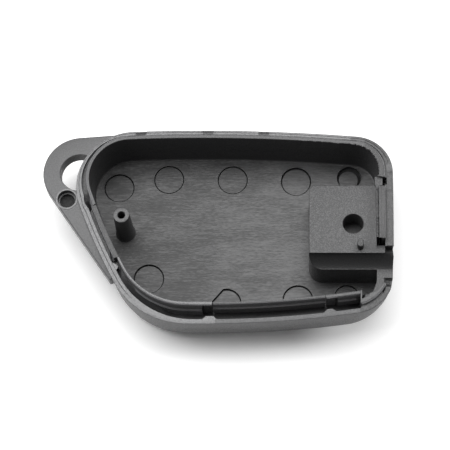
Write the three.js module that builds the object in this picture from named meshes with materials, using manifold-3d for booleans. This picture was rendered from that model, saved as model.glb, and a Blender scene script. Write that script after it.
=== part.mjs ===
// Rear half of a key fob shell, lying on its back with the open side up.
// Millimetres. X runs from the key ring lug to the blade end, Y from front to back, Z up.
// The rim is a ring of fixed lips and springy tongues that stands on a shelf inside the outer wall.
import * as THREE from 'three';
import { mergeVertices } from 'three/addons/utils/BufferGeometryUtils.js';
import Module from 'manifold-3d';

// Case outline: four corner arcs joined by four slightly bowed sides
const CASE_LENGTH = 58.9;
const CASE_WIDTH = 37.5;
const BACK_LEFT_RADIUS = 10.6;
const BACK_RIGHT_RADIUS = 8.1;
const FRONT_RIGHT_RADIUS = 7.7;
const FRONT_LEFT_RADIUS = 14.1;
const BACK_LEFT_DROP = 0.2; // back left corner below the top of the back's bow
const BACK_RIGHT_DROP = 1.2; // the back falls towards the blade end
const FRONT_RIGHT_RISE = 2.0; // the front rises towards the blade end
const RIGHT_TAPER = 0.2; // front right corner inside the blade end's plane
const FRONT_LEFT_SETBACK = 20.3; // centre of the front left corner, from the leftmost point
const RIGHT_BOW = 900;
const BACK_BOW = 340;
const LEFT_BOW = 111;
const FRONT_BOW = 190;

// Case heights and walls
const LEDGE_HEIGHT = 10.4;
const SHELF_HEIGHT = 5.4;
const FLOOR_THICKNESS = 1.5;
const BOTTOM_ROUNDING = 3.8;
const OUTER_DRAFT = 3; // degrees
const CAVITY_DRAFT = 3; // degrees, below the shelf

// Rim section on each side: ledge, groove and lip, from outside to inside
const RIGHT_LEDGE = 1.2;
const RIGHT_GROOVE = 0.35;
const RIGHT_LIP = 1.05;
const BACK_LEDGE = 0.6;
const BACK_GROOVE = 0.3;
const BACK_LIP = 0.75;
const LEFT_LEDGE = 1.05;
const LEFT_GROOVE = 0.8;
const LEFT_LIP = 0.95;
const FRONT_LEDGE = 1.0;
const FRONT_GROOVE = 1.65;
const FRONT_LIP = 0.8;
const LIP_RISE = 0.8; // lip top above the ledge
const CAVITY_FRONT_RIGHT_RADIUS = 5.0;
const CAVITY_BACK_RIGHT_RADIUS = 5.1;
const CAVITY_BACK_LEFT_RADIUS = 7.6;
const CAVITY_FRONT_LEFT_RADIUS = 11.9;

// Snap tongues
const PIECE_GAP = 0.3; // between a piece and the neighbour that it is cut from
const TONGUE_TOP_DROP = 0.2; // tongue top below the lip top
const TONGUE_LEAD_IN = 0.4;
const BEAD_DEPTH = 0.3;
const BEAD_HEIGHT = 0.7;
const BEAD_BELOW_LEDGE = 1.1;
const LEFT_TONGUE_LENGTH = 11.2;
const LEFT_TONGUE_SHIFT = 0.9; // towards the back, from the middle of the slanted side
const LEFT_SLIT = 0.9;
const FRONT_TONGUE_START = 5.3; // past the centre of the front left corner
const FRONT_SLIT = 0.4;
const CORNER_TONGUE_LENGTH = 5.8;
const CORNER_TONGUE_END = 6.8; // from the blade end
const CORNER_SLIT = 0.5;
const CATCH_LENGTH = 1.65; // recess in the outer face beside each front slit
const CATCH_WEB = 0.35; // wall left behind the recess
const CATCH_ROOF = 0.6; // rail left above the recess
const LEDGE_TOOTH_LENGTH = 1.6;
const LEDGE_TOOTH_DEPTH = 0.6;
const RIGHT_BAR_LENGTH = 10.4;
const RIGHT_BAR_WIDTH = 0.65;
const RIGHT_BAR_SLIT = 1.5;

// Blade slot, seat and nub
const SLOT_WIDTH = 7.0;
const SILL_DEPTH = 1.5; // below the ledge
const SEAT_REACH = 15.6; // left face of the seat, from the blade end
const SEAT_BACK_Y = 7.6;
const SEAT_CORNER_RADIUS = 1.3;
const PAD_RISE = 0.6; // above the ledge
const PAD_WIDTH = 13.3;
const PAD_EAR_WIDTH = 1.3; // strip of pad that runs on over the wall, beside the slot
const STEP_WIDTH = 2.5;
const PAD_HOLE_RADIUS = 1.88;
const PAD_HOLE_DEPTH = 5.0;
const PAD_HOLE_FROM_LEFT = 8.1;
const PAD_HOLE_FROM_BACK = 7.6;
const NUB_LENGTH = 1.5;
const NUB_WIDTH = 1.2;
const NUB_RISE = 1.8;
const NUB_FROM_LEFT = 9.4;
const NUB_FROM_FRONT = 1.8; // from the pad's front edge

// Screw post
const POST_BASE_RADIUS = 1.75;
const POST_TOP_RADIUS = 1.48;
const POST_RISE = 0.6; // above the ledge
const POST_FROM_LEFT = 8.6;
const POST_Y = 1.7;
const POST_HOLE_RADIUS = 0.68;
const POST_HOLE_DEPTH = 6;

// Key ring lug
const LUG_REACH = 6.3; // past the leftmost point of the case
const LUG_END_RADIUS = 6.95;
const LUG_CENTRE_ABOVE = 2.8; // above the centre of the back left corner
const LUG_DROP = 0.4; // below the ledge
const LUG_THICKNESS = 2.85;
const LUG_FRONT_ANGLE = 204; // where its slanted edge ends beside the front left corner, degrees
const LUG_FRONT_STANDOFF = 0.95; // how far that end stands off the case
const LUG_BACK_ANGLE = 97; // where its back edge meets the back left corner, degrees
const EYELET_RADIUS = 3.6;
const EYELET_SHIFT = 0.3; // towards the tip of the lug
const SOCKET_RADIUS = 1.5;
const SOCKET_DEPTH = 2.0;
const SOCKET_FROM_EDGE = 2.2;
const SOCKET_ALONG_EDGE = 3.4;

// Marks in the floor and notches in the back ledge
const MARK_RADIUS = 2.8;
const MARK_DEPTH = 0.2;
const SMALL_MARK_RADIUS = 2.3;
const SMALL_MARK_DEPTH = 0.8;
const MARKS = [
  [-22.4, 10.9],
  [-12.9, 12.6],
  [-0.7, 12.5],
  [11.4, 12.2],
  [-16.2, -7.5],
  [-1.6, -12.3],
  [11.8, -11.6],
];
const SMALL_MARKS = [[21.5, 12.9], [20.9, -11.0]];
const LEDGE_NOTCHES = [-17.7, -5.1, 5.4];
const LEDGE_NOTCH_WIDTH = 1.9;
const LEDGE_NOTCH_DEPTH = 0.5;

// Facets
const CORNER_STEPS = 9;
const SIDE_STEPS = 6;
const ROUNDING_STEPS = 4;
const ROUND_SEGMENTS = 28;
const CUT_MARGIN = 1; // how far a cutting tool stands past what it cuts
const MERGE_TOLERANCE = 1e-5;

const wasm = await Module();
wasm.setup();

const left = -CASE_LENGTH / 2;
const right = CASE_LENGTH / 2;
const back = CASE_WIDTH / 2;
const front = -CASE_WIDTH / 2;
const lipTop = LEDGE_HEIGHT + LIP_RISE;
const padTop = LEDGE_HEIGHT + PAD_RISE;
const postTop = LEDGE_HEIGHT + POST_RISE;
const lugTop = LEDGE_HEIGHT - LUG_DROP;
const sillHeight = LEDGE_HEIGHT - SILL_DEPTH;
const up = new THREE.Vector3(0, 0, 1);

// Closed mesh to solid
function solid(geometry) {
  const bare = new THREE.BufferGeometry();
  bare.setAttribute('position', geometry.getAttribute('position').clone());
  if (geometry.index) bare.setIndex(geometry.index.clone());
  const merged = mergeVertices(bare, MERGE_TOLERANCE);
  const mesh = new wasm.Mesh({
    numProp: 3,
    vertProperties: new Float32Array(merged.getAttribute('position').array),
    triVerts: new Uint32Array(merged.index.array),
  });
  return new wasm.Manifold(mesh);
}

// Solid back to mesh
function surface(body) {
  const mesh = body.getMesh();
  const geometry = new THREE.BufferGeometry();
  geometry.setAttribute('position', new THREE.Float32BufferAttribute(mesh.vertProperties, 3));
  geometry.setIndex(new THREE.Uint32BufferAttribute(mesh.triVerts, 1));
  geometry.computeVertexNormals();
  return geometry;
}

// Meeting point of two circles, on the left of the line from the first centre to the second
function circlesMeet(first, firstRadius, second, secondRadius) {
  const between = second.clone().sub(first);
  const distance = between.length();
  const along = (firstRadius ** 2 - secondRadius ** 2 + distance ** 2) / (2 * distance);
  const aside = Math.sqrt(firstRadius ** 2 - along ** 2);
  const unit = between.divideScalar(distance);
  return new THREE.Vector2(
    first.x + unit.x * along - unit.y * aside,
    first.y + unit.y * along + unit.x * aside,
  );
}

function angleFrom(centre, point) {
  return Math.atan2(point.y - centre.y, point.x - centre.x);
}

function pointOn(centre, radius, angle) {
  return new THREE.Vector2(centre.x + radius * Math.cos(angle), centre.y + radius * Math.sin(angle));
}

// Neighbours in the ring of four corners or sides
const previous = (index) => (index + 3) % 4;
const following = (index) => (index + 1) % 4;

// Corner circles of the outer wall, anticlockwise from the front right
const corners = [
  {
    radius: FRONT_RIGHT_RADIUS,
    centre: new THREE.Vector2(
      right - RIGHT_TAPER - FRONT_RIGHT_RADIUS,
      front + FRONT_RIGHT_RISE + FRONT_RIGHT_RADIUS,
    ),
  },
  {
    radius: BACK_RIGHT_RADIUS,
    centre: new THREE.Vector2(right - BACK_RIGHT_RADIUS, back - BACK_RIGHT_DROP - BACK_RIGHT_RADIUS),
  },
  {
    radius: BACK_LEFT_RADIUS,
    centre: new THREE.Vector2(left + BACK_LEFT_RADIUS, back - BACK_LEFT_DROP - BACK_LEFT_RADIUS),
  },
  {
    radius: FRONT_LEFT_RADIUS,
    centre: new THREE.Vector2(left + FRONT_LEFT_SETBACK, front + FRONT_LEFT_RADIUS),
  },
];
const [, , backLeftCorner, frontLeftCorner] = corners;

// Sides of the outer wall: each touches the corner circles at its two ends
const [RIGHT, BACK, LEFT, FRONT] = corners.keys();
const sides = [RIGHT_BOW, BACK_BOW, LEFT_BOW, FRONT_BOW].map((radius, side) => {
  const start = corners[side];
  const end = corners[following(side)];
  const centre = circlesMeet(start.centre, radius - start.radius, end.centre, radius - end.radius);
  return { radius, centre };
});

// Mean of a size of the two sides that meet at a corner
function cornerMean(sizes, index) {
  return (sizes[previous(index)] + sizes[index]) / 2;
}

// Corner radii that keep a wall even
function evenRadii(insets) {
  return corners.map((corner, index) => corner.radius - cornerMean(insets, index));
}

// Corner circles once each side is set in by its own amount
function insetCorners(insets, radii) {
  return radii.map((radius, index) => {
    const before = previous(index);
    const centre = circlesMeet(
      sides[before].centre,
      sides[before].radius - insets[before] - radius,
      sides[index].centre,
      sides[index].radius - insets[index] - radius,
    );
    return { radius, centre };
  });
}

// Anticlockwise points of the outline, always the same count
function outline(insets, radii = evenRadii(insets)) {
  const points = [];
  const circles = insetCorners(insets, radii);
  circles.forEach((corner, index) => {
    const before = previous(index);
    const next = circles[following(index)];
    const side = sides[index];
    const start = angleFrom(sides[before].centre, corner.centre);
    const end = angleFrom(side.centre, corner.centre);
    const turn = (end - start + 2 * Math.PI) % (2 * Math.PI);
    for (let step = 0; step < CORNER_STEPS; step += 1) {
      points.push(pointOn(corner.centre, corner.radius, start + (turn * step) / CORNER_STEPS));
    }
    const sideEnd = angleFrom(side.centre, next.centre);
    const sideTurn = (sideEnd - end + 2 * Math.PI) % (2 * Math.PI);
    for (let step = 0; step < SIDE_STEPS; step += 1) {
      const angle = end + (sideTurn * step) / SIDE_STEPS;
      points.push(pointOn(side.centre, side.radius - insets[index], angle));
    }
  });
  return points;
}

function evenInset(amount) {
  return [amount, amount, amount, amount];
}

// Insets of the rim's three edges
const ledgeInsets = [RIGHT_LEDGE, BACK_LEDGE, LEFT_LEDGE, FRONT_LEDGE];
const grooves = [RIGHT_GROOVE, BACK_GROOVE, LEFT_GROOVE, FRONT_GROOVE];
const lips = [RIGHT_LIP, BACK_LIP, LEFT_LIP, FRONT_LIP];
const lipInsets = ledgeInsets.map((ledge, side) => ledge + grooves[side]);
const cavityInsets = lipInsets.map((inset, side) => inset + lips[side]);
const cavityRadii = [
  CAVITY_FRONT_RIGHT_RADIUS,
  CAVITY_BACK_RIGHT_RADIUS,
  CAVITY_BACK_LEFT_RADIUS,
  CAVITY_FRONT_LEFT_RADIUS,
];
const lipRadii = cavityRadii.map((radius, index) => radius + cornerMean(lips, index));
const ledgeRadii = lipRadii.map((radius, index) => radius + cornerMean(grooves, index));

// Outline of the cavity, set in further by an even amount
function cavityOutline(amount) {
  const insets = cavityInsets.map((inset) => inset + amount);
  return outline(insets, cavityRadii.map((radius) => radius - amount));
}

// Body from a stack of outlines with equal counts, capped at both ends
function loft(rings) {
  const count = rings[0].points.length;
  const vertices = [];
  const triangles = [];
  rings.forEach(({ points, z }) => points.forEach((point) => vertices.push(point.x, point.y, z)));
  for (let ring = 0; ring + 1 < rings.length; ring += 1) {
    for (let index = 0; index < count; index += 1) {
      const low = ring * count + index;
      const lowNext = ring * count + ((index + 1) % count);
      triangles.push(low, lowNext, lowNext + count, low, lowNext + count, low + count);
    }
  }
  const lastRing = (rings.length - 1) * count;
  THREE.ShapeUtils.triangulateShape(rings[0].points, []).forEach(([a, b, c]) => triangles.push(a, c, b));
  THREE.ShapeUtils.triangulateShape(rings[rings.length - 1].points, []).forEach(([a, b, c]) => {
    triangles.push(lastRing + a, lastRing + b, lastRing + c);
  });
  const geometry = new THREE.BufferGeometry();
  geometry.setAttribute('position', new THREE.Float32BufferAttribute(vertices, 3));
  geometry.setIndex(triangles);
  return geometry;
}

// Upright prism of an outline
function prism(points, bottom, top, hole) {
  const shape = new THREE.Shape(points);
  if (hole) shape.holes.push(new THREE.Path(hole));
  const geometry = new THREE.ExtrudeGeometry(shape, { depth: top - bottom, bevelEnabled: false });
  return geometry.translate(0, 0, bottom);
}

function disc(x, y, radius, bottom, top) {
  const geometry = new THREE.CylinderGeometry(radius, radius, top - bottom, ROUND_SEGMENTS);
  return geometry.rotateX(Math.PI / 2).translate(x, y, (bottom + top) / 2);
}

function block(lowX, highX, lowY, highY, lowZ, highZ) {
  const geometry = new THREE.BoxGeometry(highX - lowX, highY - lowY, highZ - lowZ);
  return geometry.translate((lowX + highX) / 2, (lowY + highY) / 2, (lowZ + highZ) / 2);
}

// Place on the rim: shape x points inward, shape y up, and the extrusion runs anticlockwise
function rimFrame(side, angle, inset) {
  const point = pointOn(sides[side].centre, sides[side].radius - inset, angle);
  const inward = new THREE.Vector3(-Math.cos(angle), -Math.sin(angle), 0);
  const along = new THREE.Vector3().crossVectors(inward, up);
  return new THREE.Matrix4().makeBasis(inward, up, along).setPosition(point.x, point.y, 0);
}

function frontRimFrame(x, inset) {
  const angle = -Math.acos((x - sides[FRONT].centre.x) / (sides[FRONT].radius - inset));
  return rimFrame(FRONT, angle, inset);
}

function backRimFrame(x, inset) {
  const angle = Math.acos((x - sides[BACK].centre.x) / (sides[BACK].radius - inset));
  return rimFrame(BACK, angle, inset);
}

function rightRimFrame(y, inset) {
  const angle = Math.asin((y - sides[RIGHT].centre.y) / (sides[RIGHT].radius - inset));
  return rimFrame(RIGHT, angle, inset);
}

// Bar along the rim: a section of inward and upward points, as long as given, centred on its place
function rimBar(section, length, frame) {
  const shape = new THREE.Shape(section.map(([inward, height]) => new THREE.Vector2(inward, height)));
  const geometry = new THREE.ExtrudeGeometry(shape, { depth: length, bevelEnabled: false });
  return geometry.translate(0, 0, -length / 2).applyMatrix4(frame);
}

function rimBox(lowInward, highInward, bottom, top, length, frame) {
  const section = [[lowInward, bottom], [highInward, bottom], [highInward, top], [lowInward, top]];
  return rimBar(section, length, frame);
}

// Edges of the blade seat
const seatLeft = right - SEAT_REACH;
const padFront = SEAT_BACK_Y - PAD_WIDTH;
const stepFront = padFront - STEP_WIDTH;

// Springy stretches of the rim: where each stands and how long it is
const cavityCircles = insetCorners(cavityInsets, cavityRadii);
const leftStart = angleFrom(sides[LEFT].centre, cavityCircles[LEFT].centre) + 2 * Math.PI;
const leftEnd = angleFrom(sides[LEFT].centre, cavityCircles[FRONT].centre) + 2 * Math.PI;
const leftShift = LEFT_TONGUE_SHIFT / sides[LEFT].radius;
const leftFrame = rimFrame(LEFT, (leftStart + leftEnd) / 2 - leftShift, cavityInsets[LEFT]);
const leftTongueY = new THREE.Vector3().setFromMatrixPosition(leftFrame).y;
const cornerTongueEnd = right - CORNER_TONGUE_END;
const cornerTongueStart = cornerTongueEnd - CORNER_TONGUE_LENGTH;
const frontTongueEnd = cornerTongueStart - FRONT_SLIT;
const frontTongueStart = frontLeftCorner.centre.x + FRONT_TONGUE_START;
const frontTongueMiddle = (frontTongueStart + frontTongueEnd) / 2;
const cornerTongueMiddle = (cornerTongueStart + cornerTongueEnd) / 2;
const frontFrame = frontRimFrame(frontTongueMiddle, cavityInsets[FRONT]);
const cornerFrame = frontRimFrame(cornerTongueMiddle, cavityInsets[FRONT]);
const slotBack = padFront + PAD_EAR_WIDTH;
const slotFront = slotBack - SLOT_WIDTH;
const barStart = slotBack + RIGHT_BAR_SLIT;
const barEnd = barStart + RIGHT_BAR_LENGTH;
const rightFrame = rightRimFrame((barStart + barEnd) / 2, cavityInsets[RIGHT]);

// Recesses in the front rim, on the outer sides of the two front slits
const leftCatchX = frontTongueStart - FRONT_SLIT - CATCH_LENGTH / 2;
const rightCatchX = cornerTongueStart + CATCH_LENGTH / 2;
const floorInset = Math.tan(THREE.MathUtils.degToRad(CAVITY_DRAFT)) * (SHELF_HEIGHT - FLOOR_THICKNESS);

function catchRecess(x) {
  const frame = frontRimFrame(x, cavityInsets[FRONT]);
  const outer = -FRONT_LIP - BEAD_DEPTH - CUT_MARGIN;
  const bottom = SHELF_HEIGHT + PIECE_GAP + CATCH_ROOF;
  return solid(rimBox(outer, -CATCH_WEB, bottom, lipTop - CATCH_ROOF, CATCH_LENGTH, frame));
}

function rearCase() {
  const draft = Math.tan(THREE.MathUtils.degToRad(OUTER_DRAFT));
  const rings = [];
  for (let step = 0; step <= ROUNDING_STEPS; step += 1) {
    const turn = (Math.PI / 2) * (step / ROUNDING_STEPS);
    const z = BOTTOM_ROUNDING * (1 - Math.cos(turn));
    const inset = BOTTOM_ROUNDING * (1 - Math.sin(turn)) + draft * (LEDGE_HEIGHT - z);
    rings.push({ points: outline(evenInset(inset)), z });
  }
  rings.push({ points: outline(evenInset(0)), z: LEDGE_HEIGHT });
  rings.push({ points: outline(ledgeInsets, ledgeRadii), z: LEDGE_HEIGHT });
  rings.push({ points: outline(ledgeInsets, ledgeRadii), z: SHELF_HEIGHT });
  rings.push({ points: cavityOutline(0), z: SHELF_HEIGHT });
  rings.push({ points: cavityOutline(floorInset), z: FLOOR_THICKNESS });
  let body = solid(loft(rings));
  [leftCatchX, rightCatchX].forEach((x) => {
    const frame = frontRimFrame(x, FRONT_LEDGE);
    const root = -FRONT_LEDGE / 2;
    const bottom = SHELF_HEIGHT - CUT_MARGIN;
    const tooth = rimBox(root, LEDGE_TOOTH_DEPTH, bottom, LEDGE_HEIGHT, LEDGE_TOOTH_LENGTH, frame);
    body = body.add(solid(tooth));
  });
  const slotInner = right - cavityInsets[RIGHT] - CUT_MARGIN;
  const slotTop = LEDGE_HEIGHT + CUT_MARGIN;
  const slot = block(slotInner, right + CUT_MARGIN, slotFront, slotBack, sillHeight, slotTop);
  body = body.subtract(solid(slot));
  MARKS.forEach(([x, y]) => {
    const bottom = FLOOR_THICKNESS - MARK_DEPTH;
    body = body.subtract(solid(disc(x, y, MARK_RADIUS, bottom, FLOOR_THICKNESS + MARK_DEPTH)));
  });
  SMALL_MARKS.forEach(([x, y]) => {
    const bottom = FLOOR_THICKNESS - SMALL_MARK_DEPTH;
    body = body.subtract(solid(disc(x, y, SMALL_MARK_RADIUS, bottom, FLOOR_THICKNESS + MARK_DEPTH)));
  });
  LEDGE_NOTCHES.forEach((x) => {
    const bottom = LEDGE_HEIGHT - LEDGE_NOTCH_DEPTH;
    const top = LEDGE_HEIGHT + CUT_MARGIN;
    const inner = BACK_LEDGE + BACK_GROOVE / 2;
    const notch = rimBox(-CUT_MARGIN, inner, bottom, top, LEDGE_NOTCH_WIDTH, backRimFrame(x, 0));
    body = body.subtract(solid(notch));
  });
  return surface(body);
}

// Full ring of the lip, less the stretches where the tongues stand
function cutLipRing() {
  const top = lipTop + CUT_MARGIN;
  const bottom = SHELF_HEIGHT - CUT_MARGIN;
  let ring = solid(prism(outline(lipInsets, lipRadii), SHELF_HEIGHT, lipTop, cavityOutline(0)));
  const leftLength = LEFT_TONGUE_LENGTH + 2 * LEFT_SLIT;
  const leftCut = rimBox(-LEFT_LIP - CUT_MARGIN, CUT_MARGIN, bottom, top, leftLength, leftFrame);
  ring = ring.subtract(solid(leftCut));
  const freeStart = frontTongueStart - FRONT_SLIT;
  const freeEnd = cornerTongueEnd + CORNER_SLIT;
  const freeFrame = frontRimFrame((freeStart + freeEnd) / 2, cavityInsets[FRONT]);
  const outer = -FRONT_LIP - CUT_MARGIN;
  const frontCut = rimBox(outer, CUT_MARGIN, bottom, top, freeEnd - freeStart, freeFrame);
  ring = ring.subtract(solid(frontCut));
  const barInner = right - cavityInsets[RIGHT] - CUT_MARGIN;
  return ring.subtract(solid(block(barInner, right, slotBack, barEnd + RIGHT_BAR_SLIT, bottom, top)));
}

const lipRing = cutLipRing();
const farOut = CASE_LENGTH;

function backLip() {
  const frontLimit = Math.min(leftTongueY, barStart);
  const keep = solid(block(-farOut, farOut, frontLimit, farOut, 0, farOut));
  return surface(lipRing.intersect(keep));
}

function frontLeftLip() {
  const keep = solid(block(-farOut, frontTongueMiddle, -farOut, leftTongueY, 0, farOut));
  return surface(lipRing.intersect(keep).subtract(catchRecess(leftCatchX)));
}

function cornerLip() {
  const keep = solid(block(frontTongueMiddle, farOut, -farOut, padFront - PIECE_GAP, 0, farOut));
  const sill = solid(block(frontTongueMiddle, farOut, slotFront, slotBack + CUT_MARGIN, sillHeight, farOut));
  return surface(lipRing.intersect(keep).subtract(sill));
}

// Section of a tongue: upright, with a lead-in chamfer and a bead on its outer face
function tongueSection(thickness) {
  const root = SHELF_HEIGHT + PIECE_GAP;
  const top = lipTop - TONGUE_TOP_DROP;
  const bead = LEDGE_HEIGHT - BEAD_BELOW_LEDGE;
  return [
    [0, root],
    [0, top],
    [-thickness + TONGUE_LEAD_IN, top],
    [-thickness, top - TONGUE_LEAD_IN],
    [-thickness, bead],
    [-thickness - BEAD_DEPTH, bead - BEAD_HEIGHT / 2],
    [-thickness, bead - BEAD_HEIGHT],
    [-thickness, root],
  ];
}

function cornerSnapTongue() {
  const bar = solid(rimBar(tongueSection(FRONT_LIP), CORNER_TONGUE_LENGTH, cornerFrame));
  return surface(bar.subtract(catchRecess(rightCatchX)));
}

function rightSnapBar() {
  const inner = -(RIGHT_LIP - RIGHT_BAR_WIDTH);
  const root = SHELF_HEIGHT + PIECE_GAP;
  return rimBox(inner - RIGHT_BAR_WIDTH, inner, root, lipTop, RIGHT_BAR_LENGTH, rightFrame);
}

// Seat for the blade: a low step along the front and a pad behind it, with a blind hole
function bladeSeat() {
  const seatRight = right - RIGHT_LEDGE;
  const step = new THREE.Shape();
  step.moveTo(seatRight, stepFront);
  step.lineTo(seatRight, SEAT_BACK_Y);
  const cornerX = seatLeft + SEAT_CORNER_RADIUS;
  const cornerY = SEAT_BACK_Y - SEAT_CORNER_RADIUS;
  step.absarc(cornerX, cornerY, SEAT_CORNER_RADIUS, Math.PI / 2, Math.PI);
  step.absarc(seatLeft + STEP_WIDTH, stepFront + STEP_WIDTH, STEP_WIDTH, Math.PI, 1.5 * Math.PI);
  const base = prism(step.getPoints(CORNER_STEPS), FLOOR_THICKNESS, padTop);
  const overStep = block(left, right, stepFront - CUT_MARGIN, padFront, sillHeight, padTop + CUT_MARGIN);
  const holeBottom = padTop - PAD_HOLE_DEPTH;
  const holeX = seatLeft + PAD_HOLE_FROM_LEFT;
  const holeY = SEAT_BACK_Y - PAD_HOLE_FROM_BACK;
  const hole = disc(holeX, holeY, PAD_HOLE_RADIUS, holeBottom, padTop + CUT_MARGIN);
  const room = prism(cavityOutline(floorInset + PIECE_GAP), 0, padTop + CUT_MARGIN);
  const seat = solid(base).subtract(solid(overStep)).subtract(solid(hole)).intersect(solid(room));
  const earInner = right - cavityInsets[RIGHT] - RIGHT_LIP;
  const earOuter = right - RIGHT_TAPER - lipInsets[RIGHT];
  const ear = block(earInner, earOuter, padFront, slotBack, SHELF_HEIGHT + PIECE_GAP, padTop);
  return surface(seat.add(solid(ear)));
}

function bladeNub() {
  const x = seatLeft + NUB_FROM_LEFT;
  const y = padFront + NUB_FROM_FRONT;
  const half = (NUB_LENGTH - NUB_WIDTH) / 2;
  const shape = new THREE.Shape();
  shape.absarc(x, y + half, NUB_WIDTH / 2, 0, Math.PI);
  shape.absarc(x, y - half, NUB_WIDTH / 2, Math.PI, 2 * Math.PI);
  return prism(shape.getPoints(CORNER_STEPS).slice(0, -1), padTop, padTop + NUB_RISE);
}

function screwPost() {
  const profile = [
    [0, FLOOR_THICKNESS],
    [POST_BASE_RADIUS, FLOOR_THICKNESS],
    [POST_TOP_RADIUS, postTop],
    [POST_HOLE_RADIUS, postTop],
    [POST_HOLE_RADIUS, postTop - POST_HOLE_DEPTH],
    [0, postTop - POST_HOLE_DEPTH],
  ].map(([radius, height]) => new THREE.Vector2(radius, height));
  const geometry = new THREE.LatheGeometry(profile, ROUND_SEGMENTS).rotateX(Math.PI / 2);
  return geometry.translate(left + POST_FROM_LEFT, POST_Y, 0);
}

// Point where the line from an outside point touches a circle: side is 1 or -1
function touchPoint(point, centre, radius, side) {
  const reach = point.distanceTo(centre);
  const angle = angleFrom(centre, point) + side * Math.acos(radius / reach);
  return pointOn(centre, radius, angle);
}

function keyRingLug() {
  const centreX = left - LUG_REACH + LUG_END_RADIUS;
  const centre = new THREE.Vector2(centreX, backLeftCorner.centre.y + LUG_CENTRE_ABOVE);
  const frontTurn = THREE.MathUtils.degToRad(LUG_FRONT_ANGLE);
  const backTurn = THREE.MathUtils.degToRad(LUG_BACK_ANGLE);
  const frontReach = frontLeftCorner.radius + LUG_FRONT_STANDOFF;
  const frontEnd = pointOn(frontLeftCorner.centre, frontReach, frontTurn);
  const frontRoot = pointOn(frontLeftCorner.centre, frontLeftCorner.radius - CUT_MARGIN, frontTurn);
  const backEnd = pointOn(backLeftCorner.centre, backLeftCorner.radius, backTurn);
  const frontTouch = touchPoint(frontEnd, centre, LUG_END_RADIUS, -1);
  const backTouch = touchPoint(backEnd, centre, LUG_END_RADIUS, 1);
  const shape = new THREE.Shape();
  shape.moveTo(frontEnd.x, frontEnd.y);
  shape.lineTo(frontRoot.x, frontRoot.y);
  shape.lineTo(backEnd.x, backEnd.y);
  const arcStart = angleFrom(centre, backTouch);
  shape.absarc(centre.x, centre.y, LUG_END_RADIUS, arcStart, angleFrom(centre, frontTouch));
  const bottom = lugTop - LUG_THICKNESS;
  const plate = solid(prism(shape.getPoints(ROUND_SEGMENTS), bottom, lugTop));
  const room = solid(prism(outline(evenInset(-PIECE_GAP)), bottom - CUT_MARGIN, lugTop + CUT_MARGIN));
  const eyeletX = centre.x - EYELET_SHIFT;
  const eyelet = solid(disc(eyeletX, centre.y, EYELET_RADIUS, bottom - CUT_MARGIN, lugTop + CUT_MARGIN));
  const edge = frontEnd.clone().sub(frontTouch).normalize();
  const socketX = frontTouch.x + edge.x * SOCKET_ALONG_EDGE - edge.y * SOCKET_FROM_EDGE;
  const socketY = frontTouch.y + edge.y * SOCKET_ALONG_EDGE + edge.x * SOCKET_FROM_EDGE;
  const socket = solid(disc(socketX, socketY, SOCKET_RADIUS, lugTop - SOCKET_DEPTH, lugTop + CUT_MARGIN));
  return surface(plate.subtract(room).subtract(eyelet).subtract(socket));
}

// Dark moulded plastic, a little duller on the blade seat
const plastic = new THREE.MeshStandardMaterial({ color: 0x2b2b2d, roughness: 0.55, metalness: 0 });
const padPlastic = new THREE.MeshStandardMaterial({ color: 0x303032, roughness: 0.65, metalness: 0 });

const frontTongueLength = frontTongueEnd - frontTongueStart;
const pieces = {
  rear_case: [rearCase(), plastic],
  back_lip: [backLip(), plastic],
  front_left_lip: [frontLeftLip(), plastic],
  corner_lip: [cornerLip(), plastic],
  left_snap_tongue: [rimBar(tongueSection(LEFT_LIP), LEFT_TONGUE_LENGTH, leftFrame), plastic],
  front_snap_tongue: [rimBar(tongueSection(FRONT_LIP), frontTongueLength, frontFrame), plastic],
  corner_snap_tongue: [cornerSnapTongue(), plastic],
  right_snap_bar: [rightSnapBar(), plastic],
  key_ring_lug: [keyRingLug(), plastic],
  screw_post: [screwPost(), plastic],
  blade_seat: [bladeSeat(), padPlastic],
  blade_nub: [bladeNub(), padPlastic],
};

const shell = new THREE.Group();
Object.entries(pieces).forEach(([name, [geometry, material]]) => {
  const mesh = new THREE.Mesh(geometry, material.clone());
  mesh.name = name;
  shell.add(mesh);
});

// The origin is under the middle of the whole footprint, lug included
const box = new THREE.Box3().setFromObject(shell);
const middle = box.getCenter(new THREE.Vector3());
shell.position.set(-middle.x, -middle.y, -box.min.z);
const part = new THREE.Group();
part.add(shell);

export default part;
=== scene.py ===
"""Looks of the open rear half of a key fob shell: dark satin plastic on a white table."""

import math

import bmesh
import bpy
from bpy.props import FloatProperty, FloatVectorProperty, PointerProperty
from mathutils import Matrix, Vector, noise


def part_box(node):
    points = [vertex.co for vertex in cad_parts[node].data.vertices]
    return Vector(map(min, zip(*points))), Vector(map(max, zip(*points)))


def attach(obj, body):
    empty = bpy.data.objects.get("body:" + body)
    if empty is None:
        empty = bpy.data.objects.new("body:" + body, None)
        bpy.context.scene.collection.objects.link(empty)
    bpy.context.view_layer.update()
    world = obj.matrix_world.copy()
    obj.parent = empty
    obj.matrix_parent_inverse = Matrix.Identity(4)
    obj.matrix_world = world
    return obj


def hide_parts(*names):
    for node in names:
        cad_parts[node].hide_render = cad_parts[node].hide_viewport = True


bl_info = {
    "name": "Key Fob Shell",
    "version": (1, 0, 0),
    "blender": (4, 5, 0),
    "location": "View3D > Sidebar > Key Fob",
    "description": "Models the open rear half of a key fob shell around its packed frame",
    "category": "Object",
}

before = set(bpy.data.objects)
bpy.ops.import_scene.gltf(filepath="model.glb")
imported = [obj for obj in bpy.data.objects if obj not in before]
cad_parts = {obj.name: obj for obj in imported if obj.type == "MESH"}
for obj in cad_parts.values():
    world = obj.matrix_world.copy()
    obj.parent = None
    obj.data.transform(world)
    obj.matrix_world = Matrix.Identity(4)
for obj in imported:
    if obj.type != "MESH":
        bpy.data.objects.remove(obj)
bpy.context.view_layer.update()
MM = 0.001

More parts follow.
